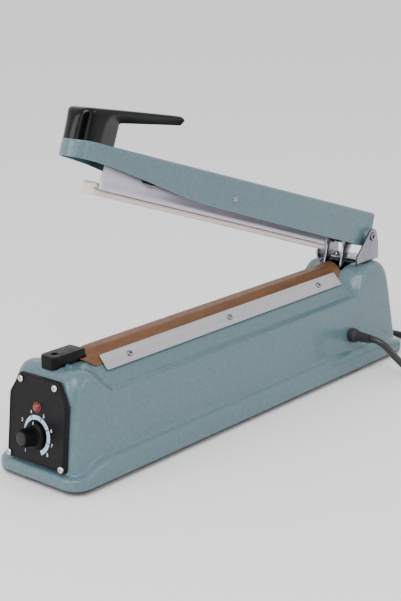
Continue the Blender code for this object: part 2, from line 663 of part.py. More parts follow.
def build_strips(parent):
    for side, word in ((1, "near"), (-1, "far")):
        bend = (-STRIP_OVER, STRIP_WIDTH - 3.0 * MM)
        inner = [deck_frame(STRIP_LIFT, along) for along in bend]
        inner.append(deck_frame(STRIP_LIFT + STRIP_ROLL, STRIP_WIDTH - STRIP_OVER))
        outer = [deck_frame(STRIP_LIFT + STRIP_T, along) for along in bend]
        outer.append(deck_frame(STRIP_LIFT + STRIP_ROLL + STRIP_T, STRIP_WIDTH - STRIP_OVER + STRIP_ROLL))
        section = [(y * side, z) for y, z in inner + outer[::-1]]
        length = STRIP_X[1] - STRIP_X[0]
        outline(f"clamp_strip_{word}", section, length, ALUMINIUM, parent,
                ((STRIP_X[0] + STRIP_X[1]) / 2, 0, 0), (math.pi / 2, 0, math.pi / 2))
        angle = math.atan2(DECK_DROP, 1)
        for number, x in enumerate(STRIP_SCREWS, 1):
            y, z = deck_frame(STRIP_LIFT + STRIP_T + GAP, STRIP_SCREW_DOWN)
            screw_head(f"strip_screw_{word}_{number}", 2.6 * MM, 1.4 * MM, parent, (x, y * side, z),
                       (angle * side, 0, 0))


def build_sealing_line(parent):
    box("sealing_rail", (RAIL_X[0], -RAIL_HALF, RAIL_Z), (RAIL_X[1], RAIL_HALF, RAIL_Z + RAIL_H),
        ALUMINIUM, parent, 0.5 * MM)
    t = ELEMENT_T / 2
    low = CREST_Z + GAP + TERMINAL[2] + GAP + t
    high = ELEMENT_Z + t
    path = [(RAIL_X[0] - 8.0 * MM, low), (RAIL_X[0] - 2.2 * MM, low), (RAIL_X[0] - 0.2 * MM, high),
            (RAIL_X[1] + 0.2 * MM, high), (RAIL_X[1] + 2.2 * MM, low), (RAIL_X[1] + 8.0 * MM, low)]
    band = [(x, z - t) for x, z in path] + [(x, z + t) for x, z in reversed(path)]
    outline("heating_element", band, 2 * ELEMENT_HALF, NICHROME, parent, (0, 0, 0), (math.pi / 2, 0, 0))
    for word, x in (("front", RAIL_X[0] - 2.4 * MM - TERMINAL[0]), ("rear", RAIL_X[1] + 2.4 * MM)):
        box(f"element_terminal_{word}", (x, -TERMINAL[1] / 2, CREST_Z + GAP),
            (x + TERMINAL[0], TERMINAL[1] / 2, CREST_Z + GAP + TERMINAL[2]), BRASS, parent)
    build_cloth(parent)
    build_strips(parent)
    cover = box("terminal_cover", (COVER_X[0], -COVER_HALF, CREST_Z + GAP),
                (COVER_X[1], COVER_HALF, CREST_Z + GAP + COVER_H), PLASTIC_BLACK, parent, 1.2 * MM)
    hole_x = COVER_X[0] + 8.5 * MM
    combine(cover, rod("cut_cover_hole", 2.4 * MM, COVER_H, (hole_x, 0, CREST_Z + GAP + COVER_H), 'Z',
                       None, parent))
    screw_head("terminal_cover_screw", 2.1 * MM, 1.2 * MM, parent,
               (hole_x, 0, CREST_Z + GAP + COVER_H / 2 + GAP), (0, 0, 0))


# ---- hinge ----------------------------------------------------------------------------------------
def build_hinge(parent):
    """The U-shaped bracket: a channel along X, cut to the shape of its ears and open in front of its web."""
    low = REAR_TOP_Z + GAP
    high = HINGE_Z + 2 * EAR_TOP_R
    inner = EAR_INNER
    outer = EAR_INNER + EAR_T
    channel = [(-outer, low), (outer, low), (outer, high), (inner, high), (inner, low + EAR_T),
               (-inner, low + EAR_T), (-inner, high), (-outer, high)]
    length = WEB_X[1] - EAR_FOOT_X + 8 * MM
    web = outline("hinge_bracket", channel, length, BRIGHT, parent,
                  ((WEB_X[1] + EAR_FOOT_X) / 2, 0, 0), (math.pi / 2, 0, math.pi / 2))
    round_top = arc((HINGE_X, HINGE_Z), EAR_TOP_R, 8, 150, 8)
    ear = [(EAR_FOOT_X, low - 4 * MM), (WEB_X[1], low - 4 * MM), (WEB_X[1], HINGE_Z - 6 * MM)] + round_top
    ear.append((EAR_FOOT_X, low + 10 * MM))
    hole = arc((HINGE_X, HINGE_Z), HINGE_PIN_R + FIT, 0, 345, 23)
    shape = outline("keep_ear_shape", ear, 4 * outer, None, parent, (0, 0, 0), (math.pi / 2, 0, 0), (hole,))
    combine(web, shape, 'INTERSECT')
    ledge = inner - 2 * GAP
    combine(web, box("cut_web_front", (EAR_FOOT_X - 8 * MM, -ledge, low - 4 * MM),
                     (WEB_X[0], ledge, low + 8 * MM), None, parent))
    for word, side in (("near", -1), ("far", 1)):
        screw_head(f"bracket_screw_{word}", 4.0 * MM, 2.4 * MM, parent,
                   (HINGE_X - 2.0 * MM, side * BRACKET_SCREW_Y, low + EAR_T + GAP), (0, 0, 0))
    reach = EAR_INNER + EAR_T + GAP
    length = reach + 2.0 * MM
    turned("hinge_pin", [(0, reach - 3 * MM), (PIN_BORE_R, reach - 3 * MM), (PIN_BORE_R, reach + PIN_HEAD_T),
                         (PIN_HEAD_R, reach + PIN_HEAD_T), (PIN_HEAD_R, reach), (HINGE_PIN_R, reach),
                         (HINGE_PIN_R, -length), (0, -length)], BRIGHT, parent, (HINGE_X, 0, HINGE_Z),
           (math.pi / 2, 0, 0), 24)
    turned("pin_retainer", [(PIN_HEAD_R, 1.0 * MM), (PIN_HEAD_R, 0), (HINGE_PIN_R + FIT, 0),
                            (HINGE_PIN_R + FIT, 1.0 * MM)], STEEL_DARK, parent,
           (HINGE_X, reach + 1.0 * MM, HINGE_Z), (math.pi / 2, 0, 0), 24, True)
    return web


# ---- press arm ------------------------------------------------------------------------------------
def arm_top(reach):
    return ARM_TOP_REAR + ARM_TOP_SLOPE * reach


def arm_bottom(reach):
    return interpolate([(r * MM, h * MM) for r, h in ARM_BOTTOM], reach)


def arm_half(reach):
    """Half width of the arm: straight, then a round nose."""
    centre = ARM_REACH - NOSE_R
    if reach <= centre:
        return ARM_HALF - (ARM_HALF - NOSE_R) * ease(reach, centre - 60 * MM, centre)
    return math.sqrt(max(0.0, NOSE_R ** 2 - (reach - centre) ** 2))


def build_arm_shell():
    centre = ARM_REACH - NOSE_R
    stations = [-ARM_REAR] + [r * MM for r, _ in ARM_BOTTOM[1:-2]] + [centre - 2 * MM]
    stations += [centre + NOSE_R * math.sin(math.radians(a)) for a in (0, 18, 36, 52, 66, 78)]

    def section(reach):
        half, top = arm_half(reach), arm_top(reach)
        low = arm_bottom(reach)
        c = min(2.4 * MM, half * 0.5)
        side = [(half, low), (half, (low + top) / 2)]
        side += [(half - c + c * math.cos(math.radians(a)), top - c + c * math.sin(math.radians(a)))
                 for a in (0, 45, 90)]
        return side + [(0, top)]

    def build(work):
        grid = [[work.verts.new((-reach, -y, z)) for y, z in section(reach)] for reach in stations]
        for one, other in zip(grid, grid[1:]):
            for i in range(len(one) - 1):
                work.faces.new((one[i], one[i + 1], other[i + 1], other[i]))
        feet = [work.verts.new((row[0].co.x, 0, row[0].co.z)) for row in (grid[0], grid[-1])]
        work.faces.new([feet[0]] + grid[0][::-1])
        work.faces.new(grid[-1] + [feet[1]])

    piece = add("press_arm", mesh_from("press_arm", build), PAINT_BLUE, ARM)
    mirror = piece.modifiers.new("far side", 'MIRROR')
    mirror.use_axis = (False, True, False)
    mirror.merge_threshold = 0.00005
    mirror.use_clip = True
    shell = piece.modifiers.new("wall", 'SOLIDIFY')
    shell.thickness = ARM_T
    shell.offset = -1
    shell.use_even_offset = True
    smooth(piece, 40)
    width = EAR_INNER - 0.5 * MM
    for side in (-1, 1):
        inner = ARM_HALF - ARM_T * 0.6
        middle = (0, side * (width + inner) / 2, 0)
        boss = rod(f"join_boss_{side}", BOSS_R, width - inner, middle, 'Y', None, ARM)
        combine(piece, boss, 'UNION')
    across = 3 * EAR_INNER
    combine(piece, rod("cut_hinge_hole", HINGE_PIN_R + FIT, across, (0, 0, 0), 'Y', None, ARM, 32))
    pivot = (-PIVOT_REACH, 0, PIVOT_H)
    combine(piece, rod("cut_pivot_hole", PIVOT_R + FIT, across, pivot, 'Y', None, ARM))
    post = (-POST_REACH, 0, arm_top(POST_REACH))
    combine(piece, rod("cut_handle_hole", HANDLE_SCREW_R + GAP, 12 * MM, post, 'Z', None, ARM))


def handle_profile():
    """Side outline of the handle, as (-reach, height), from the post's front foot over the top."""
    foot = arm_top(POST_REACH - POST_R) + GAP + SEAT_SLACK
    front = POST_REACH + POST_R
    points = [(front, foot)]
    points += [(front - back * MM, h * MM) for back, h in HANDLE_FRONT]
    points += [(HANDLE_TIP + ahead * MM, h * MM) for ahead, h in HANDLE_END]
    points += [(r * MM, h * MM) for r, h in HANDLE_INNER]
    points.append((HANDLE_HEEL, foot))
    return [(-r, h) for r, h in points]


def build_handle():
    side = handle_profile()
    piece = outline("handle", side, 2 * POST_R + 2 * MM, PLASTIC_BLACK, ARM, (0, 0, 0), (math.pi / 2, 0, 0))
    near = arc((-POST_REACH, 0), POST_R, 180, 270, 7)
    near += [(-r * MM, -half * MM) for r, half in HANDLE_SIDE]
    near += [(-HANDLE_TIP - HANDLE_CHAMFER, -BAR_HALF), (-HANDLE_TIP + MM, HANDLE_CHAMFER - BAR_HALF)]
    plan = near + [(x, -y) for x, y in near[:0:-1]]
    keep = outline("keep_handle_plan", plan, HANDLE_HIGH, None, ARM, (0, 0, HANDLE_HIGH / 2))
    combine(piece, keep, 'INTERSECT')
    top = arm_top(POST_REACH)
    bore = 2 * (HANDLE_SCREW_LENGTH + 2 * MM)
    post = (-POST_REACH, 0, top)
    combine(piece, rod("cut_handle_screw", HANDLE_SCREW_R + GAP, bore, post, 'Z', None, ARM))
    under = top - ARM_T - 2 * GAP
    head_r, head_h = HANDLE_SCREW_HEAD
    profile = [(0, HANDLE_SCREW_LENGTH), (HANDLE_SCREW_R, HANDLE_SCREW_LENGTH), (HANDLE_SCREW_R, 0),
               (head_r, 0), (head_r, -head_h), (0, -head_h)]
    turned("handle_screw", profile, STEEL, ARM, (-POST_REACH, 0, under))
    return piece


def build_fork():
    """The fork under the arm's hinge end: two legs that reach into the base, and the bridge between them."""
    bridge = arm_top(24 * MM) - ARM_T - GAP - 2.2 * MM
    end = FORK_END / MM
    leg = [(12.0, bridge / MM), (12.0, -12), (14.5, -20), (16.5, -32), (17.0, end), (22.0, end),
           (23.2, -40), (23.9, -32), (23.6, -24), (24.4, -16), (27.0, -10), (30.5, -6), (31.0, bridge / MM)]
    points = [(-r * MM, h * MM) for r, h in leg]
    pin = arc((-FORK_PIN[0], FORK_PIN[1]), FORK_PIN_R + FIT, 0, 345, 23)
    piece = outline("return_fork", points, FORK_T, BRIGHT, ARM, (0, -FORK_Y, 0), (math.pi / 2, 0, 0), (pin,))
    other = outline("join_leg", points, FORK_T, None, ARM, (0, FORK_Y, 0), (math.pi / 2, 0, 0), (pin,))
    combine(piece, other, 'UNION')
    plate = box("join_bridge", (-30.4 * MM, -FORK_Y, bridge - 1.2 * FORK_T),
                (-12.6 * MM, FORK_Y, bridge - 0.2 * FORK_T), None, ARM)
    combine(piece, plate, 'UNION')
    rod("fork_cross_pin", FORK_PIN_R, 2 * FORK_Y + FORK_T + 1.2 * MM, (-FORK_PIN[0], 0, FORK_PIN[1]), 'Y',
        STEEL, ARM, 20)
    return piece


def build_arm():
    build_arm_shell()
    build_handle()
    build_fork()
    rod("bar_pivot_pin", PIVOT_R, 2 * ARM_HALF + 1.6 * MM, (-PIVOT_REACH, 0, PIVOT_H), 'Y', BRIGHT, ARM)
    low = BAR_WEB + BAR_T + 0.6 * MM
    high = arm_top(PRESSURE_REACH) - ARM_T - 1.2 * MM
    coil = []
    count = PRESSURE_TURNS * WIRE_STEPS
    for i in range(count + 1):
        a = 2 * math.pi * i / WIRE_STEPS
        x = PRESSURE_R * math.cos(a) - PRESSURE_REACH
        coil.append((x, PRESSURE_R * math.sin(a), low + (high - low) * i / count))
    tube("pressure_spring", coil, PRESSURE_WIRE, STEEL, ARM, 1)


# ---- press bar ------------------------------------------------------------------------------------
def build_press_bar():
    """Bar and silicone strip, drawn about the pivot pin, which is their parent's origin."""
    def place(reach, height):
        return (PIVOT_REACH - reach, height - PIVOT_H)

    t = BAR_T
    lip = SILICONE_HALF - 2.2 * MM
    half = [(BAR_SIDE, BAR_TOP), (BAR_SIDE, BAR_BOTTOM), (lip + 0.9 * MM, BAR_BOTTOM),
            (lip + 0.9 * MM, BAR_BOTTOM + t), (BAR_SIDE - t, BAR_BOTTOM + t), (BAR_SIDE - t, BAR_WEB - t)]
    upper = [(BAR_SIDE - t, BAR_WEB), (BAR_SIDE - t, BAR_TOP)]
    section = [(-y, z) for y, z in half] + half[::-1] + upper[::-1] + [(-y, z) for y, z in upper]
    section = [(y, z - PIVOT_H) for y, z in section]
    length = BAR_REACH[1] - BAR_REACH[0]
    middle = PIVOT_REACH - (BAR_REACH[0] + BAR_REACH[1]) / 2
    piece = outline("press_bar", section, length, ZINC, BAR, (middle, 0, 0), (math.pi / 2, 0, math.pi / 2))
    combine(piece, rod("cut_bar_pivot", PIVOT_R + FIT, 40 * MM, (0, 0, 0), 'Y', None, BAR))
    x, z = place(299 * MM, 3.6 * MM)
    combine(piece, rod("cut_bar_notch", 9.0 * MM, 40 * MM, (x, 0, z), 'Y', None, BAR))
    x, z = place(BAR_REACH[1], -7 * MM)
    combine(piece, box("cut_bar_front", (x - 5 * MM, -30 * MM, BAR_BOTTOM - PIVOT_H - 3 * MM),
                       (x + 6.5 * MM, 30 * MM, BAR_WEB - PIVOT_H - t - GAP), None, BAR))
    x = PIVOT_REACH - 70 * MM
    combine(piece, box("cut_bar_rear", (x, -30 * MM, BAR_WEB - PIVOT_H + 4 * MM),
                       (x + 40 * MM, 30 * MM, 20 * MM), None, BAR))
    x, _ = place(BAR_REACH[1] - BAR_FAR_SETBACK, 0)
    combine(piece, box("cut_bar_far_front", (x - 2 * BAR_FAR_SETBACK, 0, BAR_WEB - PIVOT_H),
                       (x, 30 * MM, 20 * MM), None, BAR))
    head = BAR_WEB - t - GAP
    foot = SEAL_LINE
    neck = lip + 0.9 * MM - GAP
    rubber = [(SILICONE_HALF, foot), (SILICONE_HALF, BAR_BOTTOM - GAP), (neck, BAR_BOTTOM - GAP),
              (neck, BAR_BOTTOM + t + GAP), (SILICONE_HALF, BAR_BOTTOM + t + GAP), (SILICONE_HALF, head)]
    strip = [(y, z - PIVOT_H) for y, z in rubber] + [(-y, z - PIVOT_H) for y, z in reversed(rubber)]
    length = SILICONE_REACH[1] - SILICONE_REACH[0]
    middle = PIVOT_REACH - (SILICONE_REACH[0] + SILICONE_REACH[1]) / 2
    outline("silicone_strip", strip, length, SILICONE, BAR, (middle, 0, 0), (math.pi / 2, 0, math.pi / 2))
    return piece


# ---- inside the base --------------------------------------------------------------------------------
def build_transformer(parent):
    sx, sy, sz = CORE_SIZE
    core = box("transformer_core", (CORE_X - sx / 2, -sy / 2, INSIDE_Z),
               (CORE_X + sx / 2, sy / 2, INSIDE_Z + sz), STEEL_DARK, parent)
    centre = 2 * CORE_LIMB
    low = INSIDE_Z + CORE_LIMB
    high = INSIDE_Z + sz - CORE_LIMB
    for side in (-1, 1):
        inner = CORE_X + side * centre / 2
        outer = CORE_X + side * (sx / 2 - CORE_LIMB)
        left, right = min(inner, outer), max(inner, outer)
        combine(core, box(f"cut_core_{side}", (left, -sy, low), (right, sy, high), None, parent))
    y = sy / 2 + COIL_SIDE
    x = sx / 2 - CORE_LIMB - GAP
    coil = box("transformer_coil", (CORE_X - x, -y, low + GAP), (CORE_X + x, y, high - GAP), TAPE, parent,
               2 * MM)
    limb = box("cut_coil_limb", (CORE_X - centre / 2 - GAP, -sy / 2 - GAP, low - sz),
               (CORE_X + centre / 2 + GAP, sy / 2 + GAP, high + sz), None, parent)
    combine(coil, limb)


def build_switch(parent):
    """Microswitch under the fork's far leg; the plunger's own axis is upright."""
    sx, sy, sz = SWITCH_SIZE
    x = HINGE_X - 19.5 * MM
    closed_end = HINGE_Z + FORK_END
    body_top = closed_end - GAP - 2.0 * MM
    body = box("microswitch_body", (x - sx / 2, FORK_Y - sy / 2, body_top - sz),
               (x + sx / 2, FORK_Y + sy / 2, body_top), PLASTIC_BLACK, parent)
    combine(body, rod("cut_plunger", PLUNGER_R + GAP, 9 * MM, (x, FORK_Y, body_top), 'Z', None, parent, 20))
    axis = empty("plunger_axis", (x, FORK_Y, body_top), (0, 0, 0), parent)
    low = -PLUNGER_TRAVEL * 1.5
    high = 2.0 * MM + PLUNGER_TRAVEL
    rod("switch_plunger", PLUNGER_R, high - low, (0, 0, (high + low) / 2), 'Z', LAMP_RED, axis, 20)
    y = FORK_Y + sy / 2 + GAP
    box("switch_bracket", (x - sx / 2, y, INSIDE_Z), (x + sx / 2, y + 1.5 * MM, body_top - MM), STEEL,
        parent)


def build_return_spring(parent):
    angle = OPEN_ANGLE
    reach, height = FORK_PIN
    pin_x = HINGE_X - reach * math.cos(angle) + height * math.sin(angle)
    pin_z = HINGE_Z + reach * math.sin(angle) + height * math.cos(angle)
    z = pin_z
    start = pin_x - FORK_PIN_R - SPRING_WIRE - GAP
    end = ANCHOR_X + 2.0 * MM + SPRING_WIRE + GAP
    first, last = start - 5 * MM, end + 5 * MM
    points = [(start, 0, z), (first + 1.5 * MM, 0, z)]
    count = SPRING_TURNS * WIRE_STEPS
    for i in range(count + 1):
        t = i / count
        a = 2 * math.pi * SPRING_TURNS * t
        points.append((first + (last - first) * t, SPRING_R * math.sin(a), z + SPRING_R * math.cos(a)))
    points += [(last - 1.5 * MM, 0, z), (end, 0, z)]
    tube("return_spring", points, SPRING_WIRE, STEEL, parent, 1)
    top = CREST_Z - WALL - GAP
    low = z - 8 * MM
    rod("spring_anchor", 2.0 * MM, top - low, (ANCHOR_X, 0, (top + low) / 2), 'Z', STEEL, parent)


# ---- mains cord -------------------------------------------------------------------------------------
def smooth_route(points, spacing):
    """Points along a smooth curve through the route, about spacing apart."""
    route = [tuple(c * MM for c in p) for p in points]
    ends = [tuple(2 * a - b for a, b in zip(route[0], route[1]))] + route \
        + [tuple(2 * a - b for a, b in zip(route[-1], route[-2]))]
    out = [route[0]]
    for i in range(len(route) - 1):
        p0, p1, p2, p3 = ends[i:i + 4]
        steps = max(1, round(math.dist(p1, p2) / spacing))
        for k in range(1, steps + 1):
            t = k / steps
            out.append(tuple(0.5 * (2 * b + (c - a) * t + (2 * a - 5 * b + 4 * c - d) * t * t
                                    + (3 * b - a - 3 * c + d) * t ** 3)
                             for a, b, c, d in zip(p0, p1, p2, p3)))
    return out


def build_cord(parent):
    wall = wall_half(GLAND_Z)
    out = GLAND_LENGTH
    seat = GAP + GLAND_R * WALL_DRAFT
    profile = [(0, out), (CORD_R + 0.5 * MM, out), (4.2 * MM, out - 9 * MM), (4.9 * MM, 7.2 * MM),
               (GLAND_R - 0.3 * MM, 6.6 * MM), (GLAND_R, seat), (GLAND_NECK, seat), (GLAND_NECK, -6 * MM),
               (0, -6 * MM)]
    turned("strain_relief", profile, RUBBER, parent, (GLAND_X, -wall, GLAND_Z), (math.pi / 2, 0, 0))
    tube("power_cord", smooth_route(CORD_ROUTE, 2.4 * 2 * CORD_R), CORD_R, RUBBER, parent)
    tube("cord_tail", smooth_route(TAIL_ROUTE, 2.4 * 2 * CORD_R), CORD_R, RUBBER, parent)
    inner, outer = COIL_R - 2 * CORD_R, COIL_R + 2 * CORD_R
    top = 0.3 * MM + 4 * CORD_R
    turned("cord_coil", [(outer, top), (outer, GAP), (inner, GAP), (inner, top)], RUBBER, parent,
           (*COIL_CENTRE, 0), (0, 0, 0), 32, True)
    x, y, z = (c * MM for c in TAIL_ROUTE[-1])
    length = PLUG_LENGTH
    plug = turned("power_plug", [(0, length), (8.6 * MM, length), (9.2 * MM, length - 1 * MM),
                                 (9.2 * MM, length - 12 * MM), (7.4 * MM, length - 24 * MM),
                                 (4.2 * MM, GAP), (0, GAP)], RUBBER, parent,
                  (x, y, z), (0, math.pi / 2, 0))
    return plug


# ---- build ------------------------------------------------------------------------------------------
clear_scene()
PARTS = new_collection("impulse_heat_sealer")
CUTTERS = new_collection("cutters")

PAINT_BLUE = paint("hammertone_blue", (0.21, 0.32, 0.36), 0.35)
PANEL_BLACK = paint("panel_black", (0.03, 0.03, 0.035), 0.45)
PLASTIC_BLACK = paint("gloss_black", (0.012, 0.012, 0.013), 0.2)
RUBBER = paint("black_rubber", (0.02, 0.02, 0.02), 0.7)
SILICONE = paint("silicone", (0.78, 0.72, 0.66), 0.55)
CLOTH_BROWN = paint("ptfe_cloth", (0.30, 0.17, 0.09), 0.5)
ALUMINIUM = paint("aluminium", (0.72, 0.71, 0.71), 0.35, 1.0)
BRIGHT = paint("nickel_plate", (0.75, 0.74, 0.76), 0.2, 1.0)
ZINC = paint("zinc_plate", (0.66, 0.65, 0.70), 0.35, 1.0)
STEEL = paint("steel", (0.55, 0.55, 0.56), 0.4, 1.0)
STEEL_DARK = paint("dark_steel", (0.08, 0.08, 0.09), 0.5, 0.6)
BRASS = paint("brass", (0.75, 0.58, 0.28), 0.3, 1.0)
NICHROME = paint("nichrome", (0.45, 0.43, 0.42), 0.35, 1.0)
LAMP_RED = paint("lamp_red", (0.30, 0.01, 0.01), 0.2)
BOARD_GREEN = paint("circuit_board", (0.03, 0.16, 0.07), 0.5)
TAPE = paint("winding_tape", (0.75, 0.62, 0.20), 0.5)

MACHINE = empty("machine", (MACHINE_X, 0, 0))
PANEL = empty("panel_frame", (-end_face(PANEL_Z), 0, PANEL_Z), (0, PANEL_LEAN, 0), MACHINE)
ARM = empty("arm_axis", (HINGE_X, 0, HINGE_Z), (0, OPEN_ANGLE, 0), MACHINE)
BAR = empty("press_bar_axis", (-PIVOT_REACH, 0, PIVOT_H), (0, 0, 0), ARM)

build_housing(MACHINE)
build_underside(MACHINE)
build_panel()
build_sealing_line(MACHINE)
build_hinge(MACHINE)
build_transformer(MACHINE)
build_switch(MACHINE)
build_return_spring(MACHINE)
build_cord(MACHINE)
build_arm()
build_press_bar()
bpy.context.view_layer.update()
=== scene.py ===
"""Looks for the impulse heat sealer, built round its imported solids."""

import math

import bmesh
import bpy
from mathutils import Matrix, Vector


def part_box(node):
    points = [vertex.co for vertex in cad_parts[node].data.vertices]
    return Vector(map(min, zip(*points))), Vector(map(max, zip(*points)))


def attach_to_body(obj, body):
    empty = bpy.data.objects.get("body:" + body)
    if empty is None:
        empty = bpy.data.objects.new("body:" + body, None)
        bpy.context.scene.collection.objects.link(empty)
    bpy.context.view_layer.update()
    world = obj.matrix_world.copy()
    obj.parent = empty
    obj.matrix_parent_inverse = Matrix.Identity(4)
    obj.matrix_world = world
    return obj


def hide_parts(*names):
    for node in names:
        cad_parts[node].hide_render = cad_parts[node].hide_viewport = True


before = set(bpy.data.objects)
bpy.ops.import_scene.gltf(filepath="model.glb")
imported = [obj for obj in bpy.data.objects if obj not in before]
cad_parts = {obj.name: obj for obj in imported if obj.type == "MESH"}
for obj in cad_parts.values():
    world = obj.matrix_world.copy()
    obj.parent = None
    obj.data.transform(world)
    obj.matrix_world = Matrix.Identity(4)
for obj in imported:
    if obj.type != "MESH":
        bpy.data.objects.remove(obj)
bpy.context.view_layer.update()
MM = 0.001      # shapes are written in millimetres and scaled once, when a mesh is made
GAP = 0.3


# ---- where things are
def box(node):
    """A solid's lowest and highest corners, in mm."""
    low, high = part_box(node)
    return low / MM, high / MM


def middle(node):
    low, high = box(node)
    return (low + high) / 2


def shift(x, y, z):
    return Matrix.Translation(Vector((x, y, z)) * MM)


def across(side=1):
    """Turns local Z across the machine, to one side or the other."""
    return Matrix.Rotation(side * math.pi / 2, 4, 'X')


HINGE_X, HINGE_Z = 191.6, 114.6
OPEN_ANGLE = math.radians(18.94)
ORIGIN_X = middle("bracket_screw_near").x - (HINGE_X - 2.0)
PANEL_LEAN = math.atan(0.123)
CREST_Z, REAR_TOP_Z, SHOULDER_Z = 87.2, 91.2, 66.0
CREST_HALF = 11.3
FLANGE_Z, FLANGE_TOP, FLANGE_FRONT_TOP = 4.8, 21.2, 13.8
HALF_LENGTH, HALF_WIDTH = 217.8, 46.0
FLANGE_LIP, END_LIP = 7.0, 5.6
WALL_DRAFT, END_DRAFT = 0.080, 0.123
CORNER, FLANGE_CORNER = 8.5, 14.0
FRONT_HUMP, REAR_HUMP = (-188.0, -162.0), (146.4, 170.0)
DECK_DROP = 10.9 / 9.4
END_FOOT = HALF_LENGTH - END_LIP + 0.4
STRIP_X = (-157.8, 144.6)
STRIP_SCREWS = (-129.3, -9.6, 114.5)
STRIP_T, STRIP_CORNER = 0.8, 1.2
STRIP_OVER = -0.4
RAIL_HALF = 5.5
CLOTH_Z = CREST_Z + GAP + 4.3 + GAP + 0.3 + GAP

BASE = shift(ORIGIN_X, 0, 0)
ARM = BASE @ shift(HINGE_X, 0, HINGE_Z) @ Matrix.Rotation(OPEN_ANGLE, 4, 'Y')
PANEL_X = -(END_FOOT - (15.4 - FLANGE_FRONT_TOP) * END_DRAFT)
PANEL = BASE @ shift(PANEL_X, 0, 15.4) @ Matrix.Rotation(PANEL_LEAN, 4, 'Y')
FACE = PANEL @ shift(-0.3, 0, 0) @ Matrix.Rotation(-math.pi / 2, 4, 'Y')


# ---- materials
def linear(value):
    value /= 255
    return value / 12.92 if value <= 0.04045 else ((value + 0.055) / 1.055) ** 2.4


def paint(name, srgb, rough, mottle, rough_var, bumps, metallic=0.0, coat=0.0, coat_rough=0.1, specular=0.5,
          subsurface=0.0, anisotropic=0.0):
    """A principled material with colour mottling, roughness variation and layered bumps.
    mottle and rough_var are (scale, amount) and bumps are (kind, scale, strength, distance in mm), each with an
    optional stretch behind it."""
    colour = [linear(value) for value in srgb]
    made = bpy.data.materials.new(name)
    made.use_nodes = True
    tree = made.node_tree
    shader = tree.nodes["Principled BSDF"]
    for socket, value in (("Base Color", (*colour, 1)), ("Roughness", rough), ("Metallic", metallic),
                          ("Coat Weight", coat), ("Coat Roughness", coat_rough), ("Specular IOR Level", specular),
                          ("Subsurface Weight", subsurface), ("Subsurface Radius", (0.004, 0.003, 0.002)),
                          ("Subsurface Scale", 0.5), ("Anisotropic", anisotropic)):
        shader.inputs[socket].default_value = value
    coordinates = tree.nodes.new("ShaderNodeTexCoord")

    def noise(kind, scale, stretch=(1, 1, 1)):
        mapping = tree.nodes.new("ShaderNodeMapping")
        mapping.inputs["Scale"].default_value = stretch
        tree.links.new(coordinates.outputs["Object"], mapping.inputs["Vector"])
        if kind == "noise":
            texture = tree.nodes.new("ShaderNodeTexNoise")
            texture.inputs["Detail"].default_value = 5.0
            output = texture.outputs["Fac"]
        elif kind == "cells":
            texture = tree.nodes.new("ShaderNodeTexVoronoi")
            texture.feature = 'SMOOTH_F1'
            texture.inputs["Smoothness"].default_value = 0.7
            output = texture.outputs["Distance"]
        else:
            texture = tree.nodes.new("ShaderNodeTexWave")
            texture.wave_type = 'BANDS'
            texture.bands_direction = kind
            output = texture.outputs["Fac"]
        texture.inputs["Scale"].default_value = scale
        tree.links.new(mapping.outputs["Vector"], texture.inputs["Vector"])
        return output

    scale, amount, *stretch = mottle
    ramp = tree.nodes.new("ShaderNodeValToRGB")
    for end, place, share in ((0, 0.32, 1 - amount), (1, 0.68, 1 + amount)):
        ramp.color_ramp.elements[end].position = place
        ramp.color_ramp.elements[end].color = (*[min(1.0, c * share) for c in colour], 1)
    tree.links.new(noise("noise", scale, *stretch), ramp.inputs["Fac"])
    tree.links.new(ramp.outputs["Color"], shader.inputs["Base Color"])
    if rough_var:
        scale, amount, *stretch = rough_var
        spread = tree.nodes.new("ShaderNodeMapRange")
        for socket, value in (("From Min", 0.3), ("From Max", 0.7), ("To Min", max(0.02, rough - amount)),
                              ("To Max", min(1.0, rough + amount))):
            spread.inputs[socket].default_value = value
        tree.links.new(noise("noise", scale, *stretch), spread.inputs["Value"])
        tree.links.new(spread.outputs["Result"], shader.inputs["Roughness"])
    below = None
    for kind, scale, strength, distance, *stretch in bumps:
        bump = tree.nodes.new("ShaderNodeBump")
        bump.inputs["Strength"].default_value = strength
        bump.inputs["Distance"].default_value = distance * MM
        tree.links.new(noise(kind, scale, *stretch), bump.inputs["Height"])
        if below:
            tree.links.new(below.outputs["Normal"], bump.inputs["Normal"])
        below = bump
    tree.links.new(below.outputs["Normal"], shader.inputs["Normal"])
    return made


def grain(scale, strength, distance=0.2, *stretch):
    """One bump layer of plain noise."""
    return [("noise", scale, strength, distance, *stretch)]


ENAMEL = paint("enamel", (80, 104, 112), 0.30, (420, 0.10), (300, 0.07),
               [("cells", 520, 0.32, 0.6), ("noise", 900, 0.16, 0.3), ("noise", 60, 0.15, 0.8)],
               coat=0.30, coat_rough=0.12, specular=0.35)
HANDLE_BLACK = paint("handle_black", (4, 4, 4), 0.17, (60, 0.12), (90, 0.05), grain(700, 0.04), specular=0.22)
PANEL_BLACK = paint("panel_black", (13, 12, 15), 0.45, (500, 0.15), (200, 0.08), grain(1800, 0.20), specular=0.16)
COVER_BLACK = paint("cover_black", (5, 5, 6), 0.36, (200, 0.15), (150, 0.08), grain(1500, 0.22, 0.3),
                    specular=0.14)
KNOB_BLACK = paint("knob_black", (5, 5, 5), 0.36, (300, 0.12), (200, 0.06), grain(1600, 0.15), specular=0.13)
KNOB_CAP = paint("knob_cap", (36, 35, 37), 0.40, (300, 0.10), None, grain(1600, 0.10), specular=0.2)
ALUMINIUM = paint("aluminium", (184, 183, 186), 0.30, (40, 0.05, (0.2, 12, 12)), (60, 0.07, (0.1, 14, 14)),
                  grain(260, 0.10, 0.2, (0.06, 8, 8)), metallic=1.0, anisotropic=0.4)
NICKEL = paint("nickel", (140, 139, 145), 0.18, (120, 0.06), (160, 0.08), grain(500, 0.07), metallic=1.0)
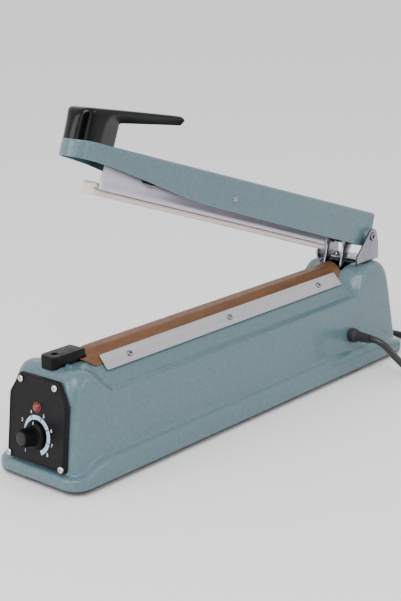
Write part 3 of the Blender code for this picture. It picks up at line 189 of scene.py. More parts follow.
SCREW_STEEL = paint("screw_steel", (205, 204, 202), 0.26, (400, 0.08), (500, 0.08), grain(1200, 0.10), metallic=1.0)
DARK_STEEL = paint("dark_steel", (70, 70, 72), 0.42, (200, 0.15), (200, 0.1), grain(900, 0.12), metallic=1.0)
BAR_METAL = paint("bar_metal", (190, 185, 197), 0.38, (60, 0.05, (0.3, 6, 6)), (80, 0.08, (0.2, 8, 8)),
                  grain(400, 0.09, 0.2, (0.1, 6, 6)), metallic=0.85)
SILICONE = paint("silicone", (212, 199, 190), 0.48, (80, 0.06, (0.4, 4, 4)), (120, 0.08), grain(700, 0.12),
                 subsurface=0.25)
PTFE = paint("ptfe_glass_cloth", (100, 68, 44), 0.42, (90, 0.16, (0.5, 2, 2)), (240, 0.08),
             [("X", 420, 0.16, 0.2), ("Y", 420, 0.16, 0.2), ("noise", 50, 0.25, 1.0, (0.5, 2, 2))], specular=0.22)
RUBBER = paint("rubber", (30, 30, 31), 0.62, (200, 0.2), (200, 0.1), grain(900, 0.2, 0.3))
CORD_BLACK = paint("cord_black", (24, 24, 25), 0.40, (150, 0.15), (100, 0.08), grain(900, 0.15))
PLATE_DARK = paint("plate_dark", (34, 33, 35), 0.5, (150, 0.15), (150, 0.1), grain(700, 0.2, 0.3))
BRASS = paint("brass", (196, 160, 84), 0.28, (300, 0.1), (300, 0.08), grain(900, 0.1), metallic=1.0)
COPPER = paint("copper_winding", (168, 96, 52), 0.35, (200, 0.15), (200, 0.08), [("Z", 500, 0.5, 0.5)], metallic=0.9)
BOARD = paint("board_green", (36, 96, 52), 0.4, (200, 0.15), (200, 0.1), grain(900, 0.1))
LAMP = paint("lamp_red", (112, 8, 10), 0.10, (300, 0.2), None, [("cells", 900, 0.5, 0.5)], coat=0.3,
             coat_rough=0.05)
BUTTON_RED = paint("button_red", (160, 20, 22), 0.3, (200, 0.1), None, grain(900, 0.1))
PRINT_BLUE = paint("print_blue", (164, 190, 214), 0.42, (400, 0.08), None, grain(1500, 0.1, 0.1))
PRINT_WHITE = paint("print_white", (222, 224, 226), 0.45, (400, 0.06), None, grain(1500, 0.1, 0.1))


# ---- mesh helpers
def mesh_of(name, work):
    """A mesh in metres of a form in millimetres."""
    bmesh.ops.recalc_face_normals(work, faces=work.faces)
    data = bpy.data.meshes.new(name)
    work.to_mesh(data)
    work.free()
    data.transform(Matrix.Scale(MM, 4))
    return data


def linked(name, data, place=Matrix()):
    made = bpy.data.objects.new(name, data)
    bpy.context.scene.collection.objects.link(made)
    made.matrix_world = place
    return made


def attach(made, body, replaces=()):
    """Has an object ride on a body and stand for nodes."""
    if body:
        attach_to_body(made, body)
    if replaces:
        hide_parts(*replaces)


def piece(name, work, material, place, body, replaces=(), sharp=35):
    """Makes an object of a bmesh and attaches it."""
    data = mesh_of(name, work)
    data.materials.append(material)
    made = linked(name, data, place)
    data.shade_smooth()
    if sharp:
        data.set_sharp_from_angle(angle=math.radians(sharp))
    attach(made, body, replaces)
    return made


def creased(made, angle):
    made.data.set_sharp_from_angle(angle=math.radians(angle))


def grid(work, rows, closed=False, caps=False):
    """Faces between rows of points; closed joins each row's end to its start; caps closes both ends."""
    made = [[work.verts.new(p) for p in row] for row in rows]
    for one, other in zip(made, made[1:]):
        count = len(one) if closed else len(one) - 1
        for i in range(count):
            j = (i + 1) % len(one)
            work.faces.new((one[i], one[j], other[j], other[i]))
    if caps:
        work.faces.new(made[0][::-1])
        work.faces.new(made[-1])
    return made


def lathe(work, profile, segments=48, centre=(0, 0, 0), wobble=None):
    """A solid of revolution about local Z; profile is (radius, height) from one pole to the other."""
    rings = []
    for r, z in profile:
        if r <= 0:
            rings.append([work.verts.new((centre[0], centre[1], centre[2] + z))])
            continue
        ring = []
        for i in range(segments):
            t = 2 * math.pi * i / segments
            rr = r * (wobble(t, z) if wobble else 1)
            ring.append(work.verts.new((centre[0] + rr * math.cos(t), centre[1] + rr * math.sin(t),
                                        centre[2] + z)))
        rings.append(ring)
    for one, other in zip(rings, rings[1:]):
        for i in range(segments):
            j = (i + 1) % segments
            if len(one) == 1 and len(other) == 1:
                continue
            if len(one) == 1:
                work.faces.new((one[0], other[i], other[j]))
            elif len(other) == 1:
                work.faces.new((one[i], other[0], one[j]))
            else:
                work.faces.new((one[i], other[i], other[j], one[j]))
    return rings


def arc(cx, cy, radius, start, end, steps):
    turns = [math.radians(start + (end - start) * i / steps) for i in range(steps + 1)]
    return [(cx + radius * math.cos(t), cy + radius * math.sin(t)) for t in turns]


def rounded(points, radii, steps=5):
    """A closed outline with its corners rounded, one radius for each corner."""
    out = []
    count = len(points)
    for i, p in enumerate(points):
        here = Vector(p)
        before = Vector(points[i - 1]) - here
        after = (Vector(points[(i + 1) % count]) - here)
        angle = before.angle(after)
        reach = min(radii[i] / math.tan(angle / 2), before.length * 0.49, after.length * 0.49)
        a = here + before.normalized() * reach
        b = here + after.normalized() * reach
        for k in range(steps + 1):
            t = k / steps
            q = a * (1 - t) ** 2 + here * 2 * t * (1 - t) + b * t * t
            out.append((q.x, q.y))
    return out


def inset(points, distance):
    """An outline moved inwards; points run anticlockwise."""
    out = []
    count = len(points)
    for i in range(count):
        a, p, b = Vector(points[i - 1]), Vector(points[i]), Vector(points[(i + 1) % count])
        one, two = p - a, b - p
        n = (Vector((-one.y, one.x)).normalized() + Vector((-two.y, two.x)).normalized()).normalized()
        cosine = n.dot(Vector((-one.y, one.x)).normalized())
        q = p + n * (distance / cosine)
        out.append((q.x, q.y))
    return out


def slab(work, corners, radii, levels):
    """A plate with rounded corners and a shaped edge: levels are (inset, height) from the bottom up."""
    rows = []
    for d, z in levels:
        shape = rounded(inset(corners, d), [max(0.4, r - d) for r in radii])
        rows.append([(x, y, z) for x, y in shape])
    return grid(work, rows, closed=True, caps=True)


def boxed(work, low, high, bevel=0.0, steps=2):
    """A block between two corners with rounded edges."""
    made = bmesh.ops.create_cube(work, size=1.0)["verts"]
    for v in made:
        v.co = Vector([a + (b - a) * (c + 0.5) for a, b, c in zip(low, high, v.co)])
    if bevel:
        edges = list({e for v in made for e in v.link_edges})
        bmesh.ops.bevel(work, geom=edges, offset=bevel, segments=steps, profile=0.5, affect='EDGES',
                        clamp_overlap=True)
    return made


def cut(target, work, place, operation='DIFFERENCE'):
    """Cuts a form out of a piece at once, or joins it to it."""
    tool = linked("cutter", mesh_of("cutter", work), place)
    step = target.modifiers.new("cut", 'BOOLEAN')
    step.operation = operation
    step.solver = 'EXACT'
    step.object = tool
    apply_all(target)
    bpy.data.objects.remove(tool, do_unlink=True)


def bore(target, place, radius, low, high, segments=32, centre=(0, 0, 0)):
    """Cuts a round hole along local Z."""
    hole = bmesh.new()
    lathe(hole, [(0, low), (radius, low), (radius, high), (0, high)], segments, centre)
    cut(target, hole, place)


def walled(target, thickness, offset=-1, even=False):
    wall = target.modifiers.new("wall", 'SOLIDIFY')
    wall.thickness = thickness * MM
    wall.offset = offset
    wall.use_even_offset = even


def edged(target, width, angle=50):
    """Rounds the edges that turn by more than an angle."""
    edge = target.modifiers.new("edge", 'BEVEL')
    edge.width = width * MM
    edge.segments = 2
    edge.limit_method = 'ANGLE'
    edge.angle_limit = math.radians(angle)


def settle(target):
    """Puts a piece's mesh in the row frame's own axes, so that its bounds are tight."""
    target.data.transform(target.matrix_world)
    target.matrix_world = Matrix()


def apply_all(target, sharp=None):
    bpy.context.view_layer.update()
    depsgraph = bpy.context.evaluated_depsgraph_get()
    fresh = bpy.data.meshes.new_from_object(target.evaluated_get(depsgraph))
    old = target.data
    target.modifiers.clear()
    target.data = fresh
    bpy.data.meshes.remove(old)
    fresh.shade_smooth()
    if sharp:
        creased(target, sharp)


def subdivided(target, levels=2):
    step = target.modifiers.new("smooth", 'SUBSURF')
    step.levels = levels
    step.render_levels = levels


def ease(x, low, high):
    t = min(1.0, max(0.0, (x - low) / (high - low)))
    return t * t * (3 - 2 * t)


def table(rows, x):
    for (x0, y0), (x1, y1) in zip(rows, rows[1:]):
        if x <= x1:
            return y0 + (y1 - y0) * max(0.0, x - x0) / (x1 - x0)
    return rows[-1][1]


def spline(points, spacing):
    """A smooth line through route points, evenly spaced."""
    knots = [Vector(p) for p in points]
    ends = [knots[0] * 2 - knots[1]] + knots + [knots[-1] * 2 - knots[-2]]
    fine = []
    for a, b, c, d in zip(ends, ends[1:], ends[2:], ends[3:]):
        for k in range(24):
            t = k / 24
            fine.append(0.5 * (2 * b + (c - a) * t + (2 * a - 5 * b + 4 * c - d) * t * t
                               + (3 * b - a - 3 * c + d) * t * t * t))
    fine.append(knots[-1])
    total = sum((q - p).length for p, q in zip(fine, fine[1:]))
    count = max(2, round(total / spacing))
    out, walked, target, step = [fine[0]], 0.0, total / count, total / count
    for p, q in zip(fine, fine[1:]):
        length = (q - p).length
        while length > 0 and walked + length >= target - 1e-6 and len(out) < count:
            out.append(p.lerp(q, (target - walked) / length))
            target += step
        walked += length
    out.append(fine[-1])
    return out


def tube_rows(points, radius, sides):
    """Rings of a round tube along points, kept from twisting."""
    rows = []
    up = Vector((0, 0, 1))
    for i, p in enumerate(points):
        ahead = (points[min(i + 1, len(points) - 1)] - points[max(i - 1, 0)]).normalized()
        side = ahead.cross(up)
        if side.length < 1e-6:
            side = ahead.cross(Vector((0, 1, 0)))
        side.normalize()
        over = side.cross(ahead)
        up = over
        rows.append([p + (side * math.cos(t) + over * math.sin(t)) * radius
                     for t in (2 * math.pi * k / sides for k in range(sides))])
    return rows


# ---- camera
CAMERA_ANGLES = (-48.643, 16.072, -1.215)      # azimuth, elevation and roll in degrees
CAMERA_TARGET = (126.8, 135.3, 39.9)
CAMERA_DISTANCE = 1306.0
CAMERA_LENS = 79.22


def build_camera():
    azimuth, elevation, roll = (math.radians(v) for v in CAMERA_ANGLES)
    target = Vector(CAMERA_TARGET) + Vector((ORIGIN_X, 0, 0))
    back = Vector((math.sin(azimuth) * math.cos(elevation), -math.cos(azimuth) * math.cos(elevation),
                   math.sin(elevation)))
    right = Vector((math.cos(azimuth), math.sin(azimuth), 0))
    up = back.cross(right)
    right_rolled = right * math.cos(roll) + up * math.sin(roll)
    up_rolled = up * math.cos(roll) - right * math.sin(roll)
    data = bpy.data.cameras.new("camera")
    data.sensor_width = 36
    data.lens = CAMERA_LENS
    data.clip_end = 50
    turn = Matrix((right_rolled, up_rolled, back)).transposed().to_4x4()
    bpy.context.scene.camera = linked("camera", data, shift(*(target + back * CAMERA_DISTANCE)) @ turn)


# ---- cord
CORD_R = 3.2
GLAND_X, GLAND_Z = 136.0, 35.5
CORD_ROUTE = ((136.0, -60.2, 35.5), (136.4, -66.0, 35.2), (138.6, -73.5, 31.0), (143.5, -81.0, 21.0),
              (152.0, -87.5, 10.4), (166.0, -92.0, 4.4), (184.0, -93.5, 3.5), (205.0, -90.0, 3.5),
              (226.0, -79.0, 3.5), (241.0, -60.0, 3.5), (248.0, -36.0, 3.5), (249.0, -10.0, 3.5),
              (246.0, 16.0, 3.5), (237.0, 39.0, 3.5), (220.0, 57.0, 3.5), (195.0, 68.0, 3.5),
              (165.0, 72.6, 3.5), (132.0, 72.6, 3.5), (104.0, 72.6, 3.5), (84.0, 74.6, 3.5))
COIL_CENTRE = (62.0, 118.0)
COIL_IN, COIL_OUT, LAY_LOW, LAY_HIGH = 34.8, 41.2, 3.5, 9.9
TAIL_ROUTE = ((72.0, 160.6, 9.7), (82.0, 164.4, 8.2), (93.0, 167.3, 6.4), (104.0, 169.1, 8.0),
              (113.0, 169.9, 9.5), (121.0, 170.0, 9.6))
PLUG_AT = (120.0, 170.0, 9.6)


def coil_point(s):
    """The coil: two turns below, then up and two turns above; s is the turn in degrees from its start."""
    r = COIL_OUT - (COIL_OUT - COIL_IN) * ease(s, 300, 362) + (COIL_OUT - COIL_IN) * ease(s, 895, 957)
    z = LAY_LOW + (LAY_HIGH - LAY_LOW) * ease(s, 585, 662)
    t = math.radians(270 - s)
    return (COIL_CENTRE[0] + r * math.cos(t), COIL_CENTRE[1] + r * math.sin(t), z)


def build_cord():
    coil = [coil_point(s) for s in range(0, 1261, 18)]
    points = [p + Vector((ORIGIN_X, 0, 0)) for p in spline([*CORD_ROUTE, *coil, *TAIL_ROUTE], 3.0)]
    work = bmesh.new()
    grid(work, tube_rows(points, CORD_R - 0.02, 18), closed=True, caps=True)
    cord = piece("mains_cord", work, CORD_BLACK, Matrix(), "base",
                 ("power_cord", "cord_coil", "cord_tail"))
    plug = build_plug()
    build_strain_relief()


def build_strain_relief():
    """The moulded bushing in the wall, its round collar and its ribbed sleeve."""
    place = BASE @ shift(GLAND_X, -wall_half(GLAND_Z), GLAND_Z) @ across()
    work = bmesh.new()
    profile = [(0, -6), (4.5, -6), (4.5, 0.9), (6.1, 0.9), (6.45, 1.3), (6.5, 2.0), (6.5, 5.2), (6.2, 6.1),
               (5.2, 6.7), (4.95, 7.2)]
    for k in range(4):
        z = 7.8 + k * 3.2
        r = 4.8 - k * 0.22
        profile += [(r, z), (r, z + 1.7), (r - 0.55, z + 2.0), (r - 0.55, z + 2.9)]
    profile += [(3.9, 21.0), (3.75, 21.8), (0, 21.8)]
    lathe(work, profile, 40)
    piece("strain_relief_bushing", work, RUBBER, place, "base", ("strain_relief",))


def build_plug():
    """A moulded two-pin plug: tapered neck, rounded body, two round pins."""
    place = BASE @ shift(*PLUG_AT) @ Matrix.Rotation(math.pi / 2, 4, 'Y')
    work = bmesh.new()
    rows = []
    for z, rx, ry, power in ((0.4, 3.9, 3.9, 2), (2.0, 4.2, 4.2, 2), (8.0, 4.7, 4.7, 2), (12.0, 5.6, 5.4, 2.2),
                             (16.0, 7.6, 6.8, 2.6), (20.0, 8.7, 8.0, 3.0), (24.0, 8.9, 8.6, 3.2),
                             (27.5, 9.0, 8.7, 3.2), (28.6, 8.7, 8.4, 3.2), (29.0, 8.0, 7.7, 3.2)):
        row = []
        for k in range(40):
            t = 2 * math.pi * k / 40
            c, s = math.cos(t), math.sin(t)
            row.append((rx * math.copysign(abs(c) ** (2 / power), c),
                        ry * math.copysign(abs(s) ** (2 / power), s), z))
        rows.append(row)
    grid(work, rows, closed=True, caps=True)
    plug = piece("mains_plug", work, CORD_BLACK, place, "base", ("power_plug",))
    for side in (-1, 1):
        work = bmesh.new()
        profile = [(0, 28.6), (2.0, 28.6), (2.0, 40.5), (1.7, 41.4), (1.0, 41.9), (0, 42.0)]
        lathe(work, profile, 24, (side * 4.9, 0, 0))
        pin = piece("plug_pin_" + ("a" if side < 0 else "b"), work, NICKEL, place, "base", ())
        pin.parent = plug
        pin.matrix_world = place
    return plug


# ---- base casting
def wall_half(z):
    return HALF_WIDTH - FLANGE_LIP - (z - FLANGE_TOP) * WALL_DRAFT


def end_face(z):
    return END_FOOT - (z - FLANGE_FRONT_TOP) * END_DRAFT


def deck_width(z):
    return CREST_HALF + (CREST_Z - z) / DECK_DROP


def casting_levels():
    """Rings of the casting, bottom up: half widths at deck and hump, heights at deck, front hump, rear hump
    and ends, half length, corner radius."""
    lip, foot = HALF_WIDTH, HALF_WIDTH - FLANGE_LIP
    drop = FLANGE_TOP - FLANGE_FRONT_TOP
    rings = []

    def level(half, z, length, corner, hump_half=None, hump_z=None, end_z=None):
        front = z if hump_z is None else hump_z
        rear = front if hump_z is None or hump_z < SHOULDER_Z + 10 else front + REAR_TOP_Z - CREST_Z
        rings.append((half, half if hump_half is None else hump_half, z, front, rear,
                      z if end_z is None else end_z, length, corner))

    level(lip, FLANGE_Z, HALF_LENGTH, FLANGE_CORNER)
    level(lip, FLANGE_Z + 0.8, HALF_LENGTH, FLANGE_CORNER)
    level(lip, FLANGE_TOP - 5.4, HALF_LENGTH, FLANGE_CORNER, end_z=FLANGE_TOP - drop - 4.4)
    level(lip - 0.3, FLANGE_TOP - 3.0, HALF_LENGTH - 0.2, FLANGE_CORNER,
          end_z=FLANGE_FRONT_TOP - 2.2)
    level(lip - 1.7, FLANGE_TOP - 0.7, HALF_LENGTH - 1.2, FLANGE_CORNER,
          end_z=FLANGE_FRONT_TOP - 0.4)
    level(lip - 3.6, FLANGE_TOP + 0.2, HALF_LENGTH - 3.0, FLANGE_CORNER,
          end_z=FLANGE_FRONT_TOP + 0.1)
    level(foot + 1.0, FLANGE_TOP + 1.0, END_FOOT + 0.5, CORNER + 3,
          end_z=FLANGE_FRONT_TOP + 0.3)
    level(wall_half(FLANGE_TOP + 3), FLANGE_TOP + 3, end_face(FLANGE_TOP + 3 - drop), CORNER + 1,
          end_z=FLANGE_TOP + 3 - drop)
    for z in (FLANGE_TOP + 8, FLANGE_TOP + 14, FLANGE_TOP + 24):
        low = z - drop
        level(wall_half(z), z, end_face(low), CORNER, end_z=low)
    low, high = SHOULDER_Z - 6.0, CREST_Z - 20.0
    level(wall_half(low), low, end_face(high), CORNER, wall_half(high), high)
    low, high = SHOULDER_Z - 1.6, CREST_Z - 10.5
    level(wall_half(low), low, end_face(high) - 0.3, CORNER + 2.5, wall_half(high), high)
    level(wall_half(low) - 0.7, SHOULDER_Z + 0.6, end_face(CREST_Z - 5.6) - 1.7,
          CORNER + 4, wall_half(high) - 1.3, CREST_Z - 5.2)
    level(deck_width(SHOULDER_Z + 2.6), SHOULDER_Z + 2.2, end_face(CREST_Z) - 4.4, CORNER + 1,
          wall_half(high) - 3.6, CREST_Z - 1.9)
    level(deck_width(SHOULDER_Z + 5.6), SHOULDER_Z + 5.6, end_face(CREST_Z) - 7.8,
          CORNER - 2.4, wall_half(high) - 7.6, CREST_Z - 0.2)
    level(deck_width(SHOULDER_Z + 12), SHOULDER_Z + 12, end_face(CREST_Z) - 10.2,
          CORNER - 4, wall_half(high) - 13.5, CREST_Z)
    level(CREST_HALF + 1.0, CREST_Z - DECK_DROP, end_face(CREST_Z) - 11.5, CORNER - 4,
          CREST_HALF + 7.0, CREST_Z)
    level(CREST_HALF - 0.6, CREST_Z, end_face(CREST_Z) - 13.0, CORNER - 5, CREST_HALF + 3,
          CREST_Z)
    return rings


def casting_ring(level):
    half, hump_half, z_deck, z_front, z_rear, z_end, length, corner = level
    end_half = hump_half - corner
    plan = [(-length, 0.0), (-length, -end_half * 0.34), (-length, -end_half * 0.68)]
    plan += arc(-length + corner, -end_half, corner, 180, 270, 6)
    steps = 7
    for low, high in (FRONT_HUMP, REAR_HUMP):
        plan += [(low + (high - low) * i / steps, None) for i in range(steps + 1)]
        if low < 0:
            plan += [(high + (REAR_HUMP[0] - high) * i / 10, None) for i in range(1, 10)]
    plan += arc(length - corner, -end_half, corner, 270, 360, 6)
    plan += [(length, -end_half * 0.68), (length, -end_half * 0.34), (length, 0.0)]
    ring = []
    for x, y in plan:
        front = ease(x, FRONT_HUMP[1], FRONT_HUMP[0])
        rear = ease(x, REAR_HUMP[0], REAR_HUMP[1])
        z = z_deck + (z_front - z_deck) * front + (z_rear - z_deck) * rear
        if z_front == z_deck:
            z += (z_end - z_deck) * ease(abs(x), HALF_LENGTH - 30, HALF_LENGTH - 8)
        if y is None:
            y = -(half + (hump_half - half) * (front + rear))
        ring.append((x, y, z))
    return ring


def deck_height(x, y):
    front = ease(x, FRONT_HUMP[1], FRONT_HUMP[0])
    rear = ease(x, REAR_HUMP[0], REAR_HUMP[1])
    rows = []
    for half, hump_half, z_deck, z_front, z_rear, *_ in reversed(casting_levels()[-6:]):
        rows.append((half + (hump_half - half) * (front + rear),
                     z_deck + (z_front - z_deck) * front + (z_rear - z_deck) * rear))
    return table([(0, rows[0][1])] + rows, abs(y))


def build_casting():
    rings = [casting_ring(level) for level in casting_levels()]
    work = bmesh.new()
    made = grid(work, rings)
    top = made[-1]
    edge = top[3:-3]
    centre = [top[0]] + [work.verts.new((v.co.x, 0, v.co.z)) for v in edge[1:-1]] + [top[-1]]
    work.faces.new((top[0], top[1], top[2], edge[0], edge[1], centre[1]))
    for i in range(1, len(edge) - 2):
        work.faces.new((centre[i], edge[i], edge[i + 1], centre[i + 1]))
    work.faces.new((centre[-2], edge[-2], edge[-1], top[-3], top[-2], top[-1]))
    bmesh.ops.mirror(work, geom=work.verts[:] + work.edges[:] + work.faces[:], axis='Y', merge_dist=0.03)
    bmesh.ops.remove_doubles(work, verts=work.verts, dist=0.03)
    shell = piece("base_casting", work, ENAMEL, BASE, None, sharp=0)
    subdivided(shell)
    walled(shell, 1.6)
    apply_all(shell)
    slot = bmesh.new()
    boxed(slot, (154.8, -13, CREST_Z - 8), (178.6, 13, REAR_TOP_Z + 8), 2.0, 3)
    cut(shell, slot, BASE)
    bore(shell, BASE @ shift(GLAND_X, -wall_half(GLAND_Z), GLAND_Z) @ across(), 4.9, -12, 12)
    window = bmesh.new()
    boxed(window, (-8, -11.5, 11.3), (8, 11.5, 51.1))
    cut(shell, window, PANEL)
    creased(shell, 50)
    attach(shell, "base", ("base_housing",))


# ---- screws
def phillips(radius, height):
    """A screw head with a cross recess, its seat at z 0."""
    work = bmesh.new()
    profile = [(0, 0), (1.0, 0), (1.0, 0.35), (0.97, 0.55), (0.86, 0.78), (0.68, 0.92), (0.4, 1.0), (0, 1.02)]
    lathe(work, [(r * radius, z * height) for r, z in profile], 36)
    head = linked("head", mesh_of("head", work))
    for turn in (0, 90):
        arm = bmesh.new()
        rows = []
        for z, length, width in ((0.25, 0.28, 0.10), (1.15, 0.62, 0.15)):
            half, w = length * radius, width * radius
            rows.append([(-half, -w, z * height), (half, -w, z * height), (half, w, z * height),
                         (-half, w, z * height)])
        grid(arm, rows, closed=True, caps=True)
        cut(head, arm, Matrix.Rotation(math.radians(turn), 4, 'Z'))
    made = head.data.copy()
    bpy.data.objects.remove(head, do_unlink=True)
    made.shade_smooth()
    made.set_sharp_from_angle(angle=math.radians(30))
    return made


def put_screw(head, node, place, turn, material=SCREW_STEEL):
    data = head.copy()
    data.materials.clear()
    data.materials.append(material)
    made = linked(node + "_head", data, place @ Matrix.Rotation(math.radians(turn), 4, 'Z'))
    attach(made, "base", (node,))


def deck_point(offset, along):
    """A point over the near deck as (y, z): offset out of the slope, along it down from the crest."""
    length = math.hypot(1, DECK_DROP)
    out = (DECK_DROP / length, 1 / length)
    down = (1 / length, -DECK_DROP / length)
    return (-(CREST_HALF + out[0] * offset + down[0] * along), CREST_Z + out[1] * offset + down[1] * along)


# ---- sealing line
def build_strips():
    """The two clamp strips: sheet aluminium with rounded ends and a rolled lower edge."""
    slope = math.atan2(DECK_DROP, 1)
    length = STRIP_X[1] - STRIP_X[0]
    head = phillips(2.6, 1.3)
    for side, word in ((-1, "near"), (1, "far")):
        profile = []
        for along in [STRIP_OVER + k * 0.85 for k in range(17)]:
            lift = 0.35 * ease(along, 11.0, 13.2)
            profile.append(deck_point((1.1 + lift), along))
        work = bmesh.new()
        stations = [0, 0.6, 1.6, 3.0, 5.0] + [length * k / 40 for k in range(1, 40)]
        stations += [length - v for v in (5.0, 3.0, 1.6, 0.6, 0)]
        rows = []
        count = len(profile) - 1
        for s in sorted(stations):
            end = min(s, length - s)
            row = []
            for k, (y, z) in enumerate(profile):
                edge = min(min(k, count - k) * 0.85, STRIP_CORNER)
                shift_in = STRIP_CORNER - math.sqrt(STRIP_CORNER ** 2 - (STRIP_CORNER - edge) ** 2)
                inwards = 1 if s < length / 2 else -1
                row.append((STRIP_X[0] + s + shift_in * max(0.0, 1 - end / 6.0) * inwards, y * -side, z))
            rows.append(row)
        grid(work, rows)
        strip = piece(f"clamp_strip_{word}_sheet", work, ALUMINIUM, BASE, None, sharp=0)
        walled(strip, STRIP_T, 1 if side < 0 else -1, True)
        edged(strip, 0.16)
        apply_all(strip, 40)
        attach(strip, "base", (f"clamp_strip_{word}",))
        for number, x in enumerate(STRIP_SCREWS, 1):
            y, z = deck_point(1.1 + STRIP_T + 0.1, 6.5)
            place = BASE @ shift(x, y * -side, z) @ Matrix.Rotation(slope * -side, 4, 'X')
            put_screw(head, f"strip_screw_{word}_{number}", place, 20 + 37 * number, NICKEL)


def cloth_half(x):
    """Near half of the cloth's section at x, edge to middle, as (y, z)."""
    points = []
    clamped = [deck_point(0.45, 7.5), deck_point(0.45, 3.8), deck_point(0.7, 0.2),
               (-9.4, CREST_Z + 1.6), (-RAIL_HALF - 1.5, CREST_Z + 3.2),
               (-RAIL_HALF - 0.5, CLOTH_Z - 0.45), (-RAIL_HALF + 0.4, CLOTH_Z + 0.12),
               (-2.6, CLOTH_Z + 0.15), (0, CLOTH_Z + 0.15)]
    front = ease(x, STRIP_X[0] + 1.0, STRIP_X[0] - 5.0)
    rear = ease(x, STRIP_X[1] - 2.0, STRIP_X[1] + 4.0)
    loose = max(front, rear)
    if x < 0:
        reach = (9.3 + 7.4 * math.sqrt(max(0.0, 1 - ((x + 163.5) / 11.5) ** 2)))
        inner = 9.3
    else:
        reach = (5.0 + 11.0 * math.sqrt(max(0.0, 1 - (max(0.0, x - 146.0) / 10.0) ** 2)))
        inner = 0.0
    reach = max(reach, inner + 1.2, 5.0)
    if x < 0:
        shares = (1.0, 0.82, 0.6, 0.4, 0.2, 0.0)
        ys = [inner + (reach - inner) * s for s in shares] + [6.2, 3.0, 0.0]
    else:
        ys = [reach * s for s in (1.0, 0.86, 0.7, 0.56, 0.44, 0.33, 0.22, 0.11, 0.0)]
    for (y0, z0), y1 in zip(clamped, ys):
        swell = 3.4 * math.exp(-(y1 / (8.0)) ** 2)
        if x > 0:
            swell += 3.2 * (1 - (y1 / (17.0)) ** 2) * (1 - 0.6 * ease(x, 150, 156))
        z1 = deck_height(x, y1) + 1.3 + swell
        points.append((y0 + (-y1 - y0) * loose, z0 + (z1 - z0) * loose))
    return points


def build_cloth():
    """The PTFE glass cloth, pulled over the rail, with its loose lobes at the two ends."""
    stations = [-175.0, -174.2, -172.8, -170.8, -168.6, -166.6, -164.6, -162.6, -160.6, -158.8, -156.5]
    stations += [-150 + 8.0 * k for k in range(37)]
    stations += [143.6, 145.6, 147.4, 149.2, 151.0, 152.6, 154.0, 155.2, 156.0]
    work = bmesh.new()
    rows = []
    for x in stations:
        half = cloth_half(x)
        sag = 0.10 * math.sin(x * 0.21) + 0.06 * math.sin(x * 0.53 + 1)
        line = [(y, z + (sag if abs(y) > 7 else sag * 0.15)) for y, z in half]
        line += [(-y, z) for y, z in line[:-1][::-1]]
        rows.append([work.verts.new((x, y, z)) for y, z in line])
    for x, one, other in zip(stations, rows, rows[1:]):
        for i in range(len(one) - 1):
            if 5 <= i <= 10 and x < -166.8:
                continue
            work.faces.new((one[i], one[i + 1], other[i + 1], other[i]))
    bmesh.ops.delete(work, geom=[v for v in work.verts if not v.link_faces], context='VERTS')
    cloth = piece("ptfe_cloth_sheet", work, PTFE, BASE, None, sharp=0)
    walled(cloth, 0.26, 0)
    apply_all(cloth, 60)
    subdivided(cloth, 1)
    apply_all(cloth, 60)
    attach(cloth, "base", ("ptfe_cloth",))


def build_cover():
    """The block over the element's front terminal, with a countersunk hole for its screw."""
    low, high = box("terminal_cover")
    x0, x1 = low.x - ORIGIN_X, high.x - ORIGIN_X
    z0 = low.z - 1.2
    half, height = high.y, high.z - z0
    corners = [(x0, 3 - half), (x0 + 3, -half), (x1, -half), (x1, half), (x0 + 3, half), (x0, half - 3)]
    work = bmesh.new()
    slab(work, corners, (1.6, 1.6, 1.4, 1.4, 1.6, 1.6),
         [(0.0, 0), (0.0, height - 1), (0.08, height - 0.62), (0.3, height - 0.28), (0.62, height - 0.07),
          (1.0, height)])
    cover = piece("terminal_cover_block", work, COVER_BLACK, BASE @ shift(0, 0, z0), None)
    hole = bmesh.new()
    lathe(hole, [(0, height - 3.0), (2.5, height - 3.0), (2.5, height - 0.5), (3.2, height + 0.2),
                 (3.2, height + 2), (0, height + 2)], 32)
    screw_x = middle("terminal_cover_screw").x - ORIGIN_X
    cut(cover, hole, BASE @ shift(screw_x, 0, z0))
    creased(cover, 35)
    attach(cover, "base", ("terminal_cover",))
    head = phillips(2.1, 1.2)
    put_screw(head, "terminal_cover_screw", BASE @ shift(screw_x, 0, z0 + height - 2.95), 30, DARK_STEEL)


# ---- control panel
KNOB_UP, LAMP_UP = 22.8, 44.2      # up the panel from its lower edge
PANEL_SCREWS = ((3.4, -28.2), (3.4, 28.2), (62.4, -18.2), (62.4, 18.2))


def build_panel():
    """The moulded panel: bevelled rim, recessed printed field, holes for bush and lens."""
    half, top, shoulder, height = 31.0, 20.8, 50.5, 67.2
    corners = [(0, half), (0, -half), (shoulder, -half), (height, -top), (height, top), (shoulder, half)]
    work = bmesh.new()
    slab(work, corners, [3, 3, 5, 3, 3, 5],
         [(0.4, 0), (0, 0.3), (0, 2.4), (0.3, 3.0), (1.0, 3.8),
          (1.5, 4.15), (2.0, 4.2), (2.3, 4.05), (2.5, 3.75),
          (2.8, 3.7)])
    plate = piece("control_panel_face", work, PANEL_BLACK, FACE, None)
    bore(plate, FACE, 3.7, -2, 8, centre=(KNOB_UP, 0, 0))
    bore(plate, FACE, 4.2, -2, 8, centre=(LAMP_UP, 0, 0))
    for x, y in PANEL_SCREWS:
        bore(plate, FACE, 3.1, 3.6, 6, 24, (x, y, 0))
    creased(plate, 32)
    attach(plate, "base", ("control_panel",))
    head = phillips(2.6, 1.4)
    for number, (x, y) in enumerate(PANEL_SCREWS, 1):
        put_screw(head, f"panel_screw_{number}", FACE @ shift(x, y, 4.15), 25 + 41 * number)
    build_scale()
    build_lamp()


